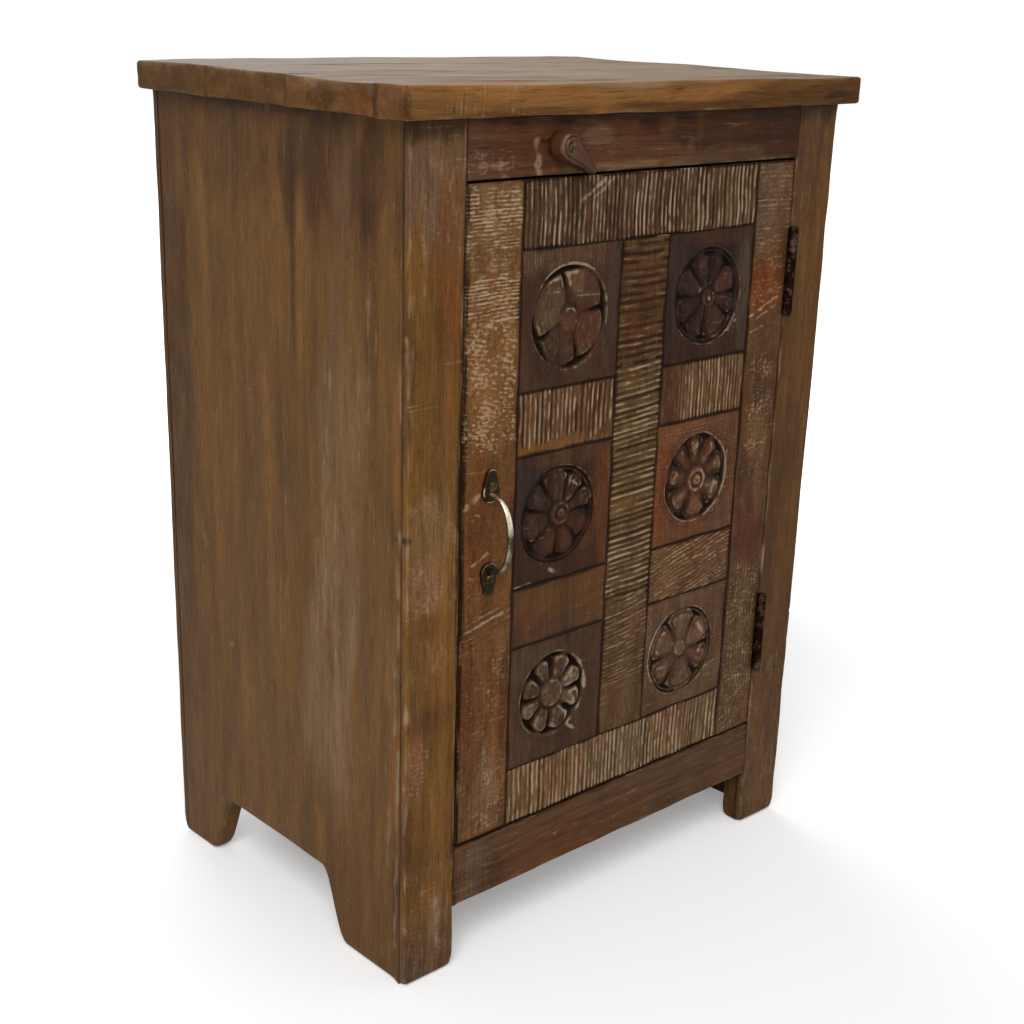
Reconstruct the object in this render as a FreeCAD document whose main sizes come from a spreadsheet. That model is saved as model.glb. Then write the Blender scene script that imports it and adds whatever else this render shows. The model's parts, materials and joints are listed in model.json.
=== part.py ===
import FreeCAD, Part
import math
import os
import re

import Sketcher

# A bedside cabinet with one inset door, in millimetres.
# The origin is on the floor under the middle of its bounding box, +X to the right, +Y to the back.

# Driving sizes
sizes = {
    "overall_height": 600,
    "carcass_width": 400,
    "carcass_depth": 285,
    # Top
    "top_thickness": 20,
    "top_side_overhang": 12,
    "top_front_overhang": 11,
    "top_strip_width": 29,
    # Side panels and their feet
    "side_thickness": 15,
    "arch_height": 52.5,
    "front_foot_top": 90,
    "front_foot_bottom": 73,
    "rear_foot_top": 68,
    "rear_foot_bottom": 48,
    "foot_rounding": 9,
    # Front posts and rails
    "frame_thickness": 20,
    "post_width": 43,
    "corner_lip": 6,
    "leg_height": 48,
    "bottom_rail_height": 45,
    "top_rail_height": 36.5,
    "tenon_thickness": 8,
    "tenon_length": 20,
    "tenon_shoulder": 6,
    # Back
    "back_thickness": 6,
    "back_rebate": 8,
    "rear_rail_thickness": 16,
    "rear_top_rail_height": 36,
    # Floor, shelf and cleats
    "bottom_thickness": 15,
    "shelf_thickness": 12,
    "shelf_setback": 25,
    "shelf_height_share": 0.45,
    "cleat_size": 15,
    # Door stop
    "stop_grip": 15,
    "stop_overlap": 8,
    "stop_thickness": 12,
    "stop_margin": 30,
    # Door
    "door_side_gap": 2,
    "door_top_gap": 1.5,
    "door_bottom_gap": 2,
    "hinge_gap": 1.5,
    "door_left_stile_width": 45,
    "door_right_stile_width": 40,
    "door_top_rail_height": 43,
    "door_bottom_rail_height": 42,
    "mullion_width": 46,
    "spacer_height": 43,
    "backing_thickness": 6,
    "backing_rebate": 8,
    # Hinges
    "hinge_length": 63,
    "hinge_inset": 48.5,
    "hinge_axis_reach": 3,
    "knuckle_radius": 3.75,
    "knuckle_clearance": 0.3,
    "leaf_thickness": 1.6,
    "leaf_gap": 0.5,
    "leaf_margin": 4,
    "pin_radius": 1.6,
    "pin_clearance": 0.1,
    "pin_cap_radius": 2.6,
    "pin_cap_height": 1,
    "hinge_screw_radius": 1.5,
    "hinge_screw_head_radius": 3,
    "hinge_screw_length": 14,
    # Bow pull
    "bow_radius": 21,
    "bow_wire_radius": 2.25,
    "pad_offset": 25,
    "pad_spread": 14,
    "pad_radius": 7.5,
    "pad_tip_radius": 4.5,
    "pad_thickness": 2.5,
    "pull_screw_offset": 32,
    "pull_screw_radius": 1.75,
    "pull_screw_head_radius": 3.6,
    "pull_screw_head_height": 2,
    "pull_screw_length": 16,
    # Turn button
    "button_radius": 8.5,
    "button_tip_radius": 2.5,
    "button_reach": 32,
    "button_thickness": 13.5,
    "button_edge": 2,
    "button_inset": 73.5,
    "button_rest_angle": 58,
    "washer_radius": 6.5,
    "washer_thickness": 1,
    "pivot_radius": 2.2,
    "pivot_clearance": 0.25,
    "pivot_head_radius": 3.4,
    "pivot_head_height": 2.2,
    "pivot_length": 30,
    # Wood screws and nails
    "wood_screw_radius": 1.75,
    "wood_screw_head_radius": 3.5,
    "wood_screw_head_height": 2,
    "wood_screw_length": 26,
    "nail_radius": 1,
    "nail_head_radius": 2.2,
    "nail_head_height": 1,
    "nail_length": 20,
    # One overrun for all cuts, and the difference under which two lengths are the same
    "overrun": 2,
    "tolerance": 0.001,
}

# Places and sizes worked out from the driving sizes
places = {
    "carcass_height": "overall_height - top_thickness",
    "left_x": "-carcass_width / 2",
    "right_x": "carcass_width / 2",
    "pull_projection": "bow_radius + bow_wire_radius",
    "front_y": "(pull_projection - carcass_depth) / 2",
    "back_y": "front_y + carcass_depth",
    "frame_back_y": "front_y + frame_thickness",
    "lip_y": "front_y + corner_lip",
    "panel_back_y": "back_y - back_thickness",
    "rear_rail_y": "panel_back_y - rear_rail_thickness",
    "top_width": "carcass_width + 2 * top_side_overhang",
    "top_y": "front_y - top_front_overhang",
    "plank_width": "(carcass_depth + top_front_overhang - top_strip_width) / 3",
    "inner_left_x": "left_x + side_thickness",
    "inner_right_x": "right_x - side_thickness",
    "inner_width": "carcass_width - 2 * side_thickness",
    "side_depth": "carcass_depth - corner_lip",
    "opening_width": "carcass_width - 2 * post_width",
    "opening_left_x": "left_x + post_width",
    "opening_right_x": "right_x - post_width",
    "opening_bottom_z": "leg_height + bottom_rail_height",
    "opening_top_z": "carcass_height - top_rail_height",
    "floor_under_z": "opening_bottom_z - bottom_thickness",
    "shelf_under_z": "opening_bottom_z + (carcass_height - opening_bottom_z) * shelf_height_share",
    "shelf_y": "frame_back_y + shelf_setback",
    "door_left_x": "opening_left_x + door_side_gap",
    "door_right_x": "opening_right_x - hinge_gap",
    "door_bottom_z": "opening_bottom_z + door_bottom_gap",
    "door_top_z": "opening_top_z - door_top_gap",
    "door_height": "door_top_z - door_bottom_z",
    "field_left_x": "door_left_x + door_left_stile_width",
    "field_right_x": "door_right_x - door_right_stile_width",
    "field_width": "field_right_x - field_left_x",
    "field_bottom_z": "door_bottom_z + door_bottom_rail_height",
    "field_top_z": "door_top_z - door_top_rail_height",
    "field_height": "field_top_z - field_bottom_z",
    "column_width": "(field_width - mullion_width) / 2",
    "tile_height": "(field_height - 2 * spacer_height) / 3",
    "facing_thickness": "frame_thickness - backing_thickness",
    "backing_y": "front_y + facing_thickness",
    "hinge_x": "door_right_x + hinge_gap / 2",
    "hinge_y": "front_y - hinge_axis_reach",
    "leaf_y": "hinge_y + knuckle_radius + knuckle_clearance",
    "leaf_back_y": "frame_back_y - leaf_margin",
    "knuckle_pitch": "hinge_length / 5",
    "pull_x": "door_left_x + door_left_stile_width / 2",
    "pull_z": "(door_bottom_z + door_top_z) / 2",
    "button_x": "opening_left_x + button_inset",
    "button_y": "front_y - washer_thickness",
    "button_z": "(opening_top_z + carcass_height) / 2",
}

# Turns that bring an object's own +Z to the named direction
turns = {
    "up": FreeCAD.Rotation(),
    "right": FreeCAD.Rotation(FreeCAD.Vector(0, 1, 0), 90),
    "left": FreeCAD.Rotation(FreeCAD.Vector(0, 1, 0), -90),
    "back": FreeCAD.Rotation(FreeCAD.Vector(1, 0, 0), -90),
    "front": FreeCAD.Rotation(FreeCAD.Vector(1, 0, 0), 90),
    # A ring's half that starts upward and bulges to the front
    "bow": FreeCAD.Rotation(FreeCAD.Vector(0, 0, 1), FreeCAD.Vector(0, -1, 0), FreeCAD.Vector(1, 0, 0), "XYZ"),
}

doc = FreeCAD.newDocument("Nightstand")
sheet = doc.addObject("Spreadsheet::Sheet", "Sizes")
for row, (name, number) in enumerate(sizes.items(), 1):
    sheet.set(f"A{row}", name)
    sheet.set(f"B{row}", str(number))
    sheet.setAlias(f"B{row}", name)
doc.recompute()
nodes = {}


def formula(text):
    """A formula in plain names, written with the sheet's cells."""

    def cell(match):
        word = match.group(0)
        if word in places:
            return f"({formula(places[word])})"
        return f"Sizes.{word}" if word in sizes else word

    return re.sub(r"[a-z][a-z_]*", cell, text)


def value(text):
    """The number that a formula gives."""
    return float(sheet.evalExpression(formula(text)))


def put(item, corner, turn="up"):
    """Places an object at a corner given as three formulas, with its own +Z turned."""
    item.Placement = FreeCAD.Placement(FreeCAD.Vector(), turns[turn])
    for axis, text in zip("xyz", corner):
        item.setExpression(f"Placement.Base.{axis}", formula(text))
    return item


def box(name, corner, lengths):
    """A board, from its low corner and its lengths along X, Y and Z."""
    item = doc.addObject("Part::Box", name)
    for side, text in zip(("Length", "Width", "Height"), lengths):
        item.setExpression(side, formula(text))
    return put(item, corner)


def cylinder(name, foot, radius, height, turn="up"):
    """A round bar from the middle of its foot."""
    item = doc.addObject("Part::Cylinder", name)
    item.setExpression("Radius", formula(radius))
    item.setExpression("Height", formula(height))
    return put(item, foot, turn)


def fused(name, items):
    """Several solids joined into one."""
    item = doc.addObject("Part::MultiFuse", name)
    item.Shapes = items
    return item


def cut(name, base, tools):
    """A solid with the tools' shapes taken out of it."""
    item = doc.addObject("Part::Cut", name)
    item.Base = base
    item.Tool = tools[0] if len(tools) == 1 else fused(f"{name}_tools", tools)
    return item


def grouped(name, items):
    """Separate solids kept together."""
    item = doc.addObject("Part::Compound", name)
    item.Links = items
    return item


def node(label, item):
    """Names a finished piece."""
    item.Label = label
    nodes[label] = item
    return item


def screw(name, seat, turn, radius, length, head_radius, head_height, round_head=False):
    """A screw that points along the turn from its seat, with a sunk cone or a dome for its head."""
    shank = cylinder(f"{name}_shank", seat, radius, length, turn)
    if round_head:
        head = doc.addObject("Part::Ellipsoid", f"{name}_head")
        head.setExpression("Radius1", formula(head_height))
        head.setExpression("Radius2", formula(head_radius))
        head.setExpression("Radius3", formula(head_radius))
        head.Angle1 = -90
        head.Angle2 = 0
    else:
        head = doc.addObject("Part::Cone", f"{name}_head")
        head.setExpression("Radius1", formula(head_radius))
        head.setExpression("Radius2", formula(radius))
        head.setExpression("Height", formula(head_height))
    put(head, seat, turn)
    return fused(name, [shank, head])


def plane(body, role):
    """One of a body's own origin planes."""
    return next(item for item in body.Origin.OriginFeatures if item.Role == role)


def new_sketch(body, name, role):
    """An empty sketch on one of the body's origin planes."""
    sketch = body.newObject("Sketcher::SketchObject", name)
    sketch.AttachmentSupport = (plane(body, role), [""])
    sketch.MapMode = "FlatFace"
    return sketch


def drive(sketch, kind, references, text):
    """Adds a measured constraint that follows a formula."""
    number = sketch.addConstraint(Sketcher.Constraint(kind, *references, value(text)))
    sketch.setExpression(f"Constraints[{number}]", formula(text))


def outline(body, name, role, corners):
    """A closed outline of straight lines, each corner measured from the body's origin."""
    sketch = new_sketch(body, name, role)
    points = [FreeCAD.Vector(value(across), value(up), 0) for across, up in corners]
    count = len(points)
    for index in range(count):
        sketch.addGeometry(Part.LineSegment(points[index], points[(index + 1) % count]))
    for index in range(count):
        sketch.addConstraint(Sketcher.Constraint("Coincident", index, 2, (index + 1) % count, 1))
    for index, (across, up) in enumerate(corners):
        for kind, text, axis in (("DistanceX", across, -2), ("DistanceY", up, -1)):
            if text == "0":
                sketch.addConstraint(Sketcher.Constraint("PointOnObject", index, 1, axis))
            else:
                drive(sketch, kind, (-1, 1, index, 1), text)
    return sketch


def teardrop(sketch, offset, radius, tip_radius, spread, way):
    """A round end at an offset up or down the sketch's upright axis, drawn out to a small end beyond it.

    The flanks touch both circles: their lean's sine is the radii's difference over the spread.
    """
    first = sketch.GeometryCount
    big = value(radius)
    small = value(tip_radius)
    lean = math.asin((big - small) / value(spread))
    normal = FreeCAD.Vector(0, 0, 1)
    centre = FreeCAD.Vector(0, way * value(offset), 0)
    tip = centre + FreeCAD.Vector(0, way * value(spread), 0)
    quarter = way * math.pi / 2
    side = math.pi / 2 - lean
    sketch.addGeometry(
        Part.ArcOfCircle(Part.Circle(centre, normal, big), quarter + side, quarter - side + 2 * math.pi)
    )
    sketch.addGeometry(Part.ArcOfCircle(Part.Circle(tip, normal, small), quarter - side, quarter + side))
    big_arc = sketch.Geometry[first]
    small_arc = sketch.Geometry[first + 1]
    sketch.addGeometry(Part.LineSegment(big_arc.EndPoint, small_arc.StartPoint))
    sketch.addGeometry(Part.LineSegment(small_arc.EndPoint, big_arc.StartPoint))
    joins = ((0, 2, 2, 1), (2, 2, 1, 1), (1, 2, 3, 1), (3, 2, 0, 1))
    for one, one_end, other, other_end in joins:
        ends = (first + one, one_end, first + other, other_end)
        sketch.addConstraint(Sketcher.Constraint("Tangent", *ends))
    for arc, text in ((first, radius), (first + 1, tip_radius)):
        drive(sketch, "Radius", (arc,), text)
    sketch.addConstraint(Sketcher.Constraint("PointOnObject", first + 1, 3, -2))
    if offset == "0":
        sketch.addConstraint(Sketcher.Constraint("Coincident", first, 3, -1, 1))
    else:
        sketch.addConstraint(Sketcher.Constraint("PointOnObject", first, 3, -2))
        drive(sketch, "DistanceY", (-1, 1, first, 3) if way > 0 else (first, 3, -1, 1), offset)
    drive(sketch, "DistanceY", (first, 3, first + 1, 3) if way > 0 else (first + 1, 3, first, 3), spread)


def pad(body, sketch, length):
    """Draws a sketch out along its plane's normal."""
    feature = body.newObject("PartDesign::Pad", f"{sketch.Name}_pad")
    feature.Profile = sketch
    feature.setExpression("Length", formula(length))
    return feature


def rounded(body, base, radius, wanted):
    """Rounds the edges of the base feature that the test picks."""
    doc.recompute()
    names = [f"Edge{number}" for number, edge in enumerate(base.Shape.Edges, 1) if wanted(edge)]
    feature = body.newObject("PartDesign::Fillet", f"{base.Name}_rounding")
    feature.Base = (base, names)
    feature.setExpression("Radius", formula(radius))
    return feature


def same(first, second):
    """Whether two lengths are equal."""
    return abs(first - second) < sizes["tolerance"]


# Screws that hold the top: up through each top cleat into the middle of each plank
cleat_middles = {
    "left": "inner_left_x + cleat_size / 2",
    "right": "inner_right_x - cleat_size / 2",
}
wood_screw = ("wood_screw_radius", "wood_screw_length", "wood_screw_head_radius", "wood_screw_head_height")
top_screws = {}
for side, across in cleat_middles.items():
    for plank in range(3):
        seat = (across, f"top_y + top_strip_width + ({plank} + 0.5) * plank_width", "carcass_height - cleat_size")
        top_screws[side, plank] = screw(f"top_screw_{side}_{plank + 1}", seat, "up", *wood_screw)
node("top_screws", grouped("top_screws", list(top_screws.values())))

# Top: an edge strip along the front and three planks behind it
node(
    "top_edge_strip",
    box(
        "top_edge_strip",
        ("-top_width / 2", "top_y", "carcass_height"),
        ("top_width", "top_strip_width", "top_thickness"),
    ),
)
for plank, place in enumerate(("front", "middle", "rear")):
    board = box(
        f"top_plank_{place}_board",
        ("-top_width / 2", f"top_y + top_strip_width + {plank} * plank_width", "carcass_height"),
        ("top_width", "plank_width", "top_thickness"),
    )
    holes = [top_screws[side, plank] for side in cleat_middles]
    node(f"top_plank_{place}", cut(f"top_plank_{place}", board, holes))
for side, across in (("left", "inner_left_x"), ("right", "inner_right_x - cleat_size")):
    board = box(
        f"top_cleat_{side}_board",
        (across, "frame_back_y", "carcass_height - cleat_size"),
        ("cleat_size", "rear_rail_y - frame_back_y", "cleat_size"),
    )
    holes = [top_screws[side, plank] for plank in range(3)]
    node(f"top_cleat_{side}", cut(f"top_cleat_{side}", board, holes))

# Cleats under the floor and the shelf, each with two screws out into its side panel
cleat_spans = {
    "floor": ("frame_back_y", "rear_rail_y", "floor_under_z - cleat_size"),
    "shelf": ("shelf_y", "panel_back_y", "shelf_under_z - cleat_size"),
}
cleat_screws = {"left": [], "right": []}
for level, (start, end, bottom) in cleat_spans.items():
    for side, low, inner in (
        ("left", "inner_left_x", "inner_left_x + cleat_size"),
        ("right", "inner_right_x - cleat_size", "inner_right_x - cleat_size"),
    ):
        holes = []
        for index in range(2):
            along = f"{start} + ({end} - {start}) * ({index} + 0.5) / 2"
            seat = (inner, along, f"{bottom} + cleat_size / 2")
            holes.append(screw(f"{level}_cleat_screw_{side}_{index + 1}", seat, side, *wood_screw))
        board = box(
            f"{level}_cleat_{side}_board",
            (low, start, bottom),
            ("cleat_size", f"{end} - {start}", "cleat_size"),
        )
        node(f"{level}_cleat_{side}", cut(f"{level}_cleat_{side}", board, holes))
        cleat_screws[side].extend(holes)
node("cleat_screws", grouped("cleat_screws", cleat_screws["left"] + cleat_screws["right"]))

# Back panel in a rebate behind the side panels, with four nails down each side
nails = {"left": [], "right": []}
for side, across in (("left", "inner_left_x - back_rebate / 2"), ("right", "inner_right_x + back_rebate / 2")):
    for index in range(4):
        seat = (across, "back_y", f"leg_height + (carcass_height - leg_height) * ({index} + 0.5) / 4")
        nail = ("nail_radius", "nail_length", "nail_head_radius", "nail_head_height")
        nails[side].append(screw(f"back_nail_{side}_{index + 1}", seat, "front", *nail))
back_board = box(
    "back_panel_board",
    ("inner_left_x - back_rebate", "panel_back_y", "leg_height"),
    ("inner_width + 2 * back_rebate", "back_thickness", "carcass_height - leg_height"),
)
node("back_nails", grouped("back_nails", nails["left"] + nails["right"]))
node("back_panel", cut("back_panel", back_board, nails["left"] + nails["right"]))
for place, bottom, height in (
    ("top", "carcass_height - rear_top_rail_height", "rear_top_rail_height"),
    ("bottom", "leg_height", "floor_under_z - leg_height"),
):
    rail = box(
        f"rear_rail_{place}",
        ("inner_left_x", "rear_rail_y", bottom),
        ("inner_width", "rear_rail_thickness", height),
    )
    node(f"rear_rail_{place}", rail)

# Cabinet floor and shelf
node(
    "cabinet_floor",
    box(
        "cabinet_floor",
        ("inner_left_x", "frame_back_y", "floor_under_z"),
        ("inner_width", "panel_back_y - frame_back_y", "bottom_thickness"),
    ),
)
node(
    "shelf",
    box(
        "shelf",
        ("inner_left_x", "shelf_y", "shelf_under_z"),
        ("inner_width", "panel_back_y - shelf_y", "shelf_thickness"),
    ),
)


def is_foot_corner(edge):
    """Whether an edge runs across the panel at the inner corner of a foot."""
    points = [vertex.Point for vertex in edge.Vertexes]
    corners = (value("front_foot_bottom - corner_lip"), value("side_depth - rear_foot_bottom"))
    low = all(same(point.z, 0) for point in points)
    across = same(points[0].y, points[-1].y) and not same(points[0].x, points[-1].x)
    return low and across and any(same(points[0].y, corner) for corner in corners)


# Side panels: the arch between the feet narrows upward, and the feet's inner corners are round
arch = [
    ("0", "0"),
    ("front_foot_bottom - corner_lip", "0"),
    ("front_foot_top - corner_lip", "arch_height"),
    ("side_depth - rear_foot_top", "arch_height"),
    ("side_depth - rear_foot_bottom", "0"),
    ("side_depth", "0"),
    ("side_depth", "carcass_height"),
    ("0", "carcass_height"),
]
for side, across in (("left", "left_x"), ("right", "inner_right_x")):
    panel = put(doc.addObject("PartDesign::Body", f"side_panel_{side}_board"), (across, "lip_y", "0"))
    profile = outline(panel, f"side_panel_{side}_outline", "YZ_Plane", arch)
    board = pad(panel, profile, "side_thickness")
    rounded(panel, board, "foot_rounding", is_foot_corner)
    node(
        f"side_panel_{side}",
        cut(f"side_panel_{side}", panel, [back_board, *nails[side], *cleat_screws[side]]),
    )


def tenoned_rail(name, left, width, bottom, height):
    """A rail flush with the front, with a tenon at each end. Returns the rail and its two tenons."""
    board = box(f"{name}_board", (left, "front_y", bottom), (width, "frame_thickness", height))
    tenons = {}
    for side, start in (("left", f"{left} - tenon_length"), ("right", f"{left} + {width}")):
        tenons[side] = box(
            f"{name}_tenon_{side}",
            (start, "front_y + (frame_thickness - tenon_thickness) / 2", f"{bottom} + tenon_shoulder"),
            ("tenon_length", "tenon_thickness", f"{height} - 2 * tenon_shoulder"),
        )
    return fused(f"{name}_blank", [board, *tenons.values()]), tenons


# Hinges: the frame leaf has the odd knuckles and the door leaf the even ones
hinge_bottoms = {
    "upper": "door_top_z - hinge_inset - hinge_length",
    "lower": "door_bottom_z + hinge_inset",
}
leaf_sides = {
    "frame": ("hinge_x + leaf_gap / 2", "hinge_x + leaf_gap / 2", "right", (0, 2, 4)),
    "door": ("hinge_x - leaf_gap / 2 - leaf_thickness", "hinge_x - leaf_gap / 2", "left", (1, 3)),
}
hinge_screw = ("hinge_screw_radius", "hinge_screw_length", "hinge_screw_head_radius", "leaf_thickness")
hinge_screws = {"frame": [], "door": []}
hinge_recesses = {"frame": [], "door": []}
for place, bottom in hinge_bottoms.items():
    relief = cylinder(
        f"hinge_{place}_relief",
        ("hinge_x", "hinge_y", bottom),
        "knuckle_radius + knuckle_clearance",
        "hinge_length",
    )
    bore = cylinder(
        f"hinge_{place}_bore",
        ("hinge_x", "hinge_y", bottom),
        "pin_radius + pin_clearance",
        "hinge_length",
    )
    for part, (low, face, turn, owned) in leaf_sides.items():
        name = f"hinge_{place}_{part}_leaf"
        solids = [
            box(
                f"{name}_plate",
                (low, "leaf_y", bottom),
                ("leaf_thickness", "leaf_back_y - leaf_y", "hinge_length"),
            )
        ]
        for index in owned:
            foot = f"{bottom} + {index} * knuckle_pitch + knuckle_clearance / 2"
            height = "knuckle_pitch - knuckle_clearance"
            solids.append(
                box(
                    f"{name}_strap_{index + 1}",
                    (low, "hinge_y", foot),
                    ("leaf_thickness", "leaf_y - hinge_y", height),
                )
            )
            solids.append(
                cylinder(f"{name}_knuckle_{index + 1}", ("hinge_x", "hinge_y", foot), "knuckle_radius", height)
            )
        holes = []
        for index in range(3):
            seat = (face, "(leaf_y + leaf_back_y) / 2", f"{bottom} + hinge_length * ({index} + 0.5) / 3")
            holes.append(screw(f"{name}_screw_{index + 1}", seat, turn, *hinge_screw))
        node(name, cut(name, fused(f"{name}_blank", solids), [bore, *holes]))
        hinge_screws[part].extend(holes)
        recess = box(
            f"{name}_recess",
            (low, "front_y - overrun", bottom),
            ("leaf_thickness", "leaf_back_y - front_y + overrun", "hinge_length"),
        )
        hinge_recesses[part].extend([recess, relief, *holes])
    pin = [
        cylinder(
            f"hinge_{place}_pin_bar",
            ("hinge_x", "hinge_y", f"{bottom} - pin_cap_height"),
            "pin_radius",
            "hinge_length + 2 * pin_cap_height",
        )
    ]
    for end, foot in (("top", f"{bottom} + hinge_length"), ("bottom", f"{bottom} - pin_cap_height")):
        pin.append(
            cylinder(
                f"hinge_{place}_pin_{end}_cap",
                ("hinge_x", "hinge_y", foot),
                "pin_cap_radius",
                "pin_cap_height",
            )
        )
    node(f"hinge_{place}_pin", fused(f"hinge_{place}_pin", pin))
for part, screws in hinge_screws.items():
    node(f"hinge_{part}_screws", grouped(f"hinge_{part}_screws", screws))

# Turn button on the top rail, turned clear of the door: a drum drawn out to a small tip
pivot_seat = ("button_x", "button_y - button_thickness", "button_z")
pivot = ("pivot_radius", "pivot_length", "pivot_head_radius", "pivot_head_height")
loose_pivot = (
    "pivot_radius + pivot_clearance",
    "pivot_length",
    "pivot_head_radius + pivot_clearance",
    "pivot_head_height",
)
button_screw = node("turn_button_screw", screw("turn_button_screw", pivot_seat, "back", *pivot))
button = doc.addObject("PartDesign::Body", "turn_button_body")
put(button, ("button_x", "button_y", "button_z"))
button.setExpression(
    "Placement.Rotation",
    f"rotation(vector(0; -1; 0); {formula('button_rest_angle')})",
)
button_profile = new_sketch(button, "turn_button_outline", "XZ_Plane")
teardrop(
    button_profile,
    "0",
    "button_radius",
    "button_tip_radius",
    "button_reach - button_tip_radius",
    -1,
)
button_block = pad(button, button_profile, "button_thickness")


def is_button_front(edge):
    """Whether an edge lies in the button's front face."""
    return all(same(vertex.Y, -value("button_thickness")) for vertex in edge.Vertexes)


rounded(button, button_block, "button_edge", is_button_front)
node("turn_button", cut("turn_button", button, [screw("turn_button_bore", pivot_seat, "back", *loose_pivot)]))
washer = cylinder(
    "turn_button_washer_disc",
    ("button_x", "button_y", "button_z"),
    "washer_radius",
    "washer_thickness",
    "back",
)
node("turn_button_washer", cut("turn_button_washer", washer, [button_screw]))

# Front rails between the posts
top_rail, top_tenons = tenoned_rail(
    "front_rail_top", "opening_left_x", "opening_width", "opening_top_z", "top_rail_height"
)
bottom_rail, bottom_tenons = tenoned_rail(
    "front_rail_bottom", "opening_left_x", "opening_width", "leg_height", "bottom_rail_height"
)
node("front_rail_top", cut("front_rail_top", top_rail, [button_screw]))
node("front_rail_bottom", bottom_rail)

# Door stop behind the closing post, with two screws forward into it
stop_start = "opening_left_x - stop_grip"
stop_screws = []
for index in range(2):
    along = f"opening_bottom_z + stop_margin + (door_height - 2 * stop_margin) * ({index} + 0.5) / 2"
    seat = ("opening_left_x - stop_grip / 2", "frame_back_y + stop_thickness", along)
    stop_screws.append(screw(f"door_stop_screw_{index + 1}", seat, "front", *wood_screw))
stop_board = box(
    "door_stop_board",
    (stop_start, "frame_back_y", "opening_bottom_z + stop_margin"),
    ("stop_grip + stop_overlap", "stop_thickness", "opening_top_z - opening_bottom_z - 2 * stop_margin"),
)
node("door_stop_screws", grouped("door_stop_screws", stop_screws))
node("door_stop", cut("door_stop", stop_board, stop_screws))

# Front posts: each laps its side panel's front edge with a thin lip
post_outlines = {
    "left": [
        ("0", "0"),
        ("post_width", "0"),
        ("post_width", "frame_thickness"),
        ("side_thickness", "frame_thickness"),
        ("side_thickness", "corner_lip"),
        ("0", "corner_lip"),
    ],
    "right": [
        ("0", "0"),
        ("post_width", "0"),
        ("post_width", "corner_lip"),
        ("post_width - side_thickness", "corner_lip"),
        ("post_width - side_thickness", "frame_thickness"),
        ("0", "frame_thickness"),
    ],
}
post_places = {"left": ("left_x", stop_screws), "right": ("opening_right_x", hinge_recesses["frame"])}
for side, (across, others) in post_places.items():
    post = put(doc.addObject("PartDesign::Body", f"front_post_{side}_board"), (across, "front_y", "0"))
    pad(post, outline(post, f"front_post_{side}_outline", "XY_Plane", post_outlines[side]), "carcass_height")
    mortises = [top_tenons[side], bottom_tenons[side]]
    node(f"front_post_{side}", cut(f"front_post_{side}", post, [*mortises, *others]))

# Bow pull: a half ring between two leaf-shaped pads
pull_screws = []
for place, height in (("upper", "pull_z + pull_screw_offset"), ("lower", "pull_z - pull_screw_offset")):
    pull_screws.append(
        screw(
            f"pull_screw_{place}",
            ("pull_x", "front_y - pad_thickness", height),
            "back",
            "pull_screw_radius",
            "pull_screw_length",
            "pull_screw_head_radius",
            "pull_screw_head_height",
            round_head=True,
        )
    )
node("pull_screws", grouped("pull_screws", pull_screws))
pads = put(doc.addObject("PartDesign::Body", "bow_pull_pads"), ("pull_x", "front_y", "pull_z"))
for place, way in (("upper", 1), ("lower", -1)):
    pad_profile = new_sketch(pads, f"bow_pull_{place}_pad_outline", "XZ_Plane")
    teardrop(pad_profile, "pad_offset", "pad_radius", "pad_tip_radius", "pad_spread", way)
    pad(pads, pad_profile, "pad_thickness")
bow = doc.addObject("Part::Torus", "bow_pull_bow")
bow.setExpression("Radius1", formula("bow_radius"))
bow.setExpression("Radius2", formula("bow_wire_radius"))
bow.Angle3 = 180
put(bow, ("pull_x", "front_y", "pull_z"), "bow")
node("bow_pull", cut("bow_pull", fused("bow_pull_blank", [pads, bow]), pull_screws))

# Door frame, with a rebate behind it for the backing board
backing = box(
    "door_backing",
    ("field_left_x - backing_rebate", "backing_y", "field_bottom_z - backing_rebate"),
    ("field_width + 2 * backing_rebate", "backing_thickness", "field_height + 2 * backing_rebate"),
)
node("door_backing", backing)
door_tenons = {"left": [], "right": []}
for place, bottom, height in (
    ("top", "field_top_z", "door_top_rail_height"),
    ("bottom", "door_bottom_z", "door_bottom_rail_height"),
):
    rail, tenons = tenoned_rail(f"door_rail_{place}", "field_left_x", "field_width", bottom, height)
    node(f"door_rail_{place}", cut(f"door_rail_{place}", rail, [backing]))
    for side, tenon in tenons.items():
        door_tenons[side].append(tenon)
for side, across, width, others in (
    ("left", "door_left_x", "door_left_stile_width", pull_screws),
    ("right", "field_right_x", "door_right_stile_width", hinge_recesses["door"]),
):
    board = box(
        f"door_stile_{side}_board",
        (across, "front_y", "door_bottom_z"),
        (width, "frame_thickness", "door_height"),
    )
    cutters = [*door_tenons[side], backing, *others]
    node(f"door_stile_{side}", cut(f"door_stile_{side}", board, cutters))

# Door facing: a mullion between two columns of three tiles with a spacer between each pair
node(
    "door_mullion",
    box(
        "door_mullion",
        ("field_left_x + column_width", "front_y", "field_bottom_z"),
        ("mullion_width", "facing_thickness", "field_height"),
    ),
)
column = (
    ("tile", "upper"),
    ("spacer", "upper"),
    ("tile", "middle"),
    ("spacer", "lower"),
    ("tile", "lower"),
)
for side, across in (("left", "field_left_x"), ("right", "field_left_x + column_width + mullion_width")):
    top = "field_top_z"
    for kind, place in column:
        top = f"{top} - {kind}_height"
        name = f"{kind}_{side}_{place}"
        node(name, box(name, (across, "front_y", top), ("column_width", "facing_thickness", f"{kind}_height")))

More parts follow.
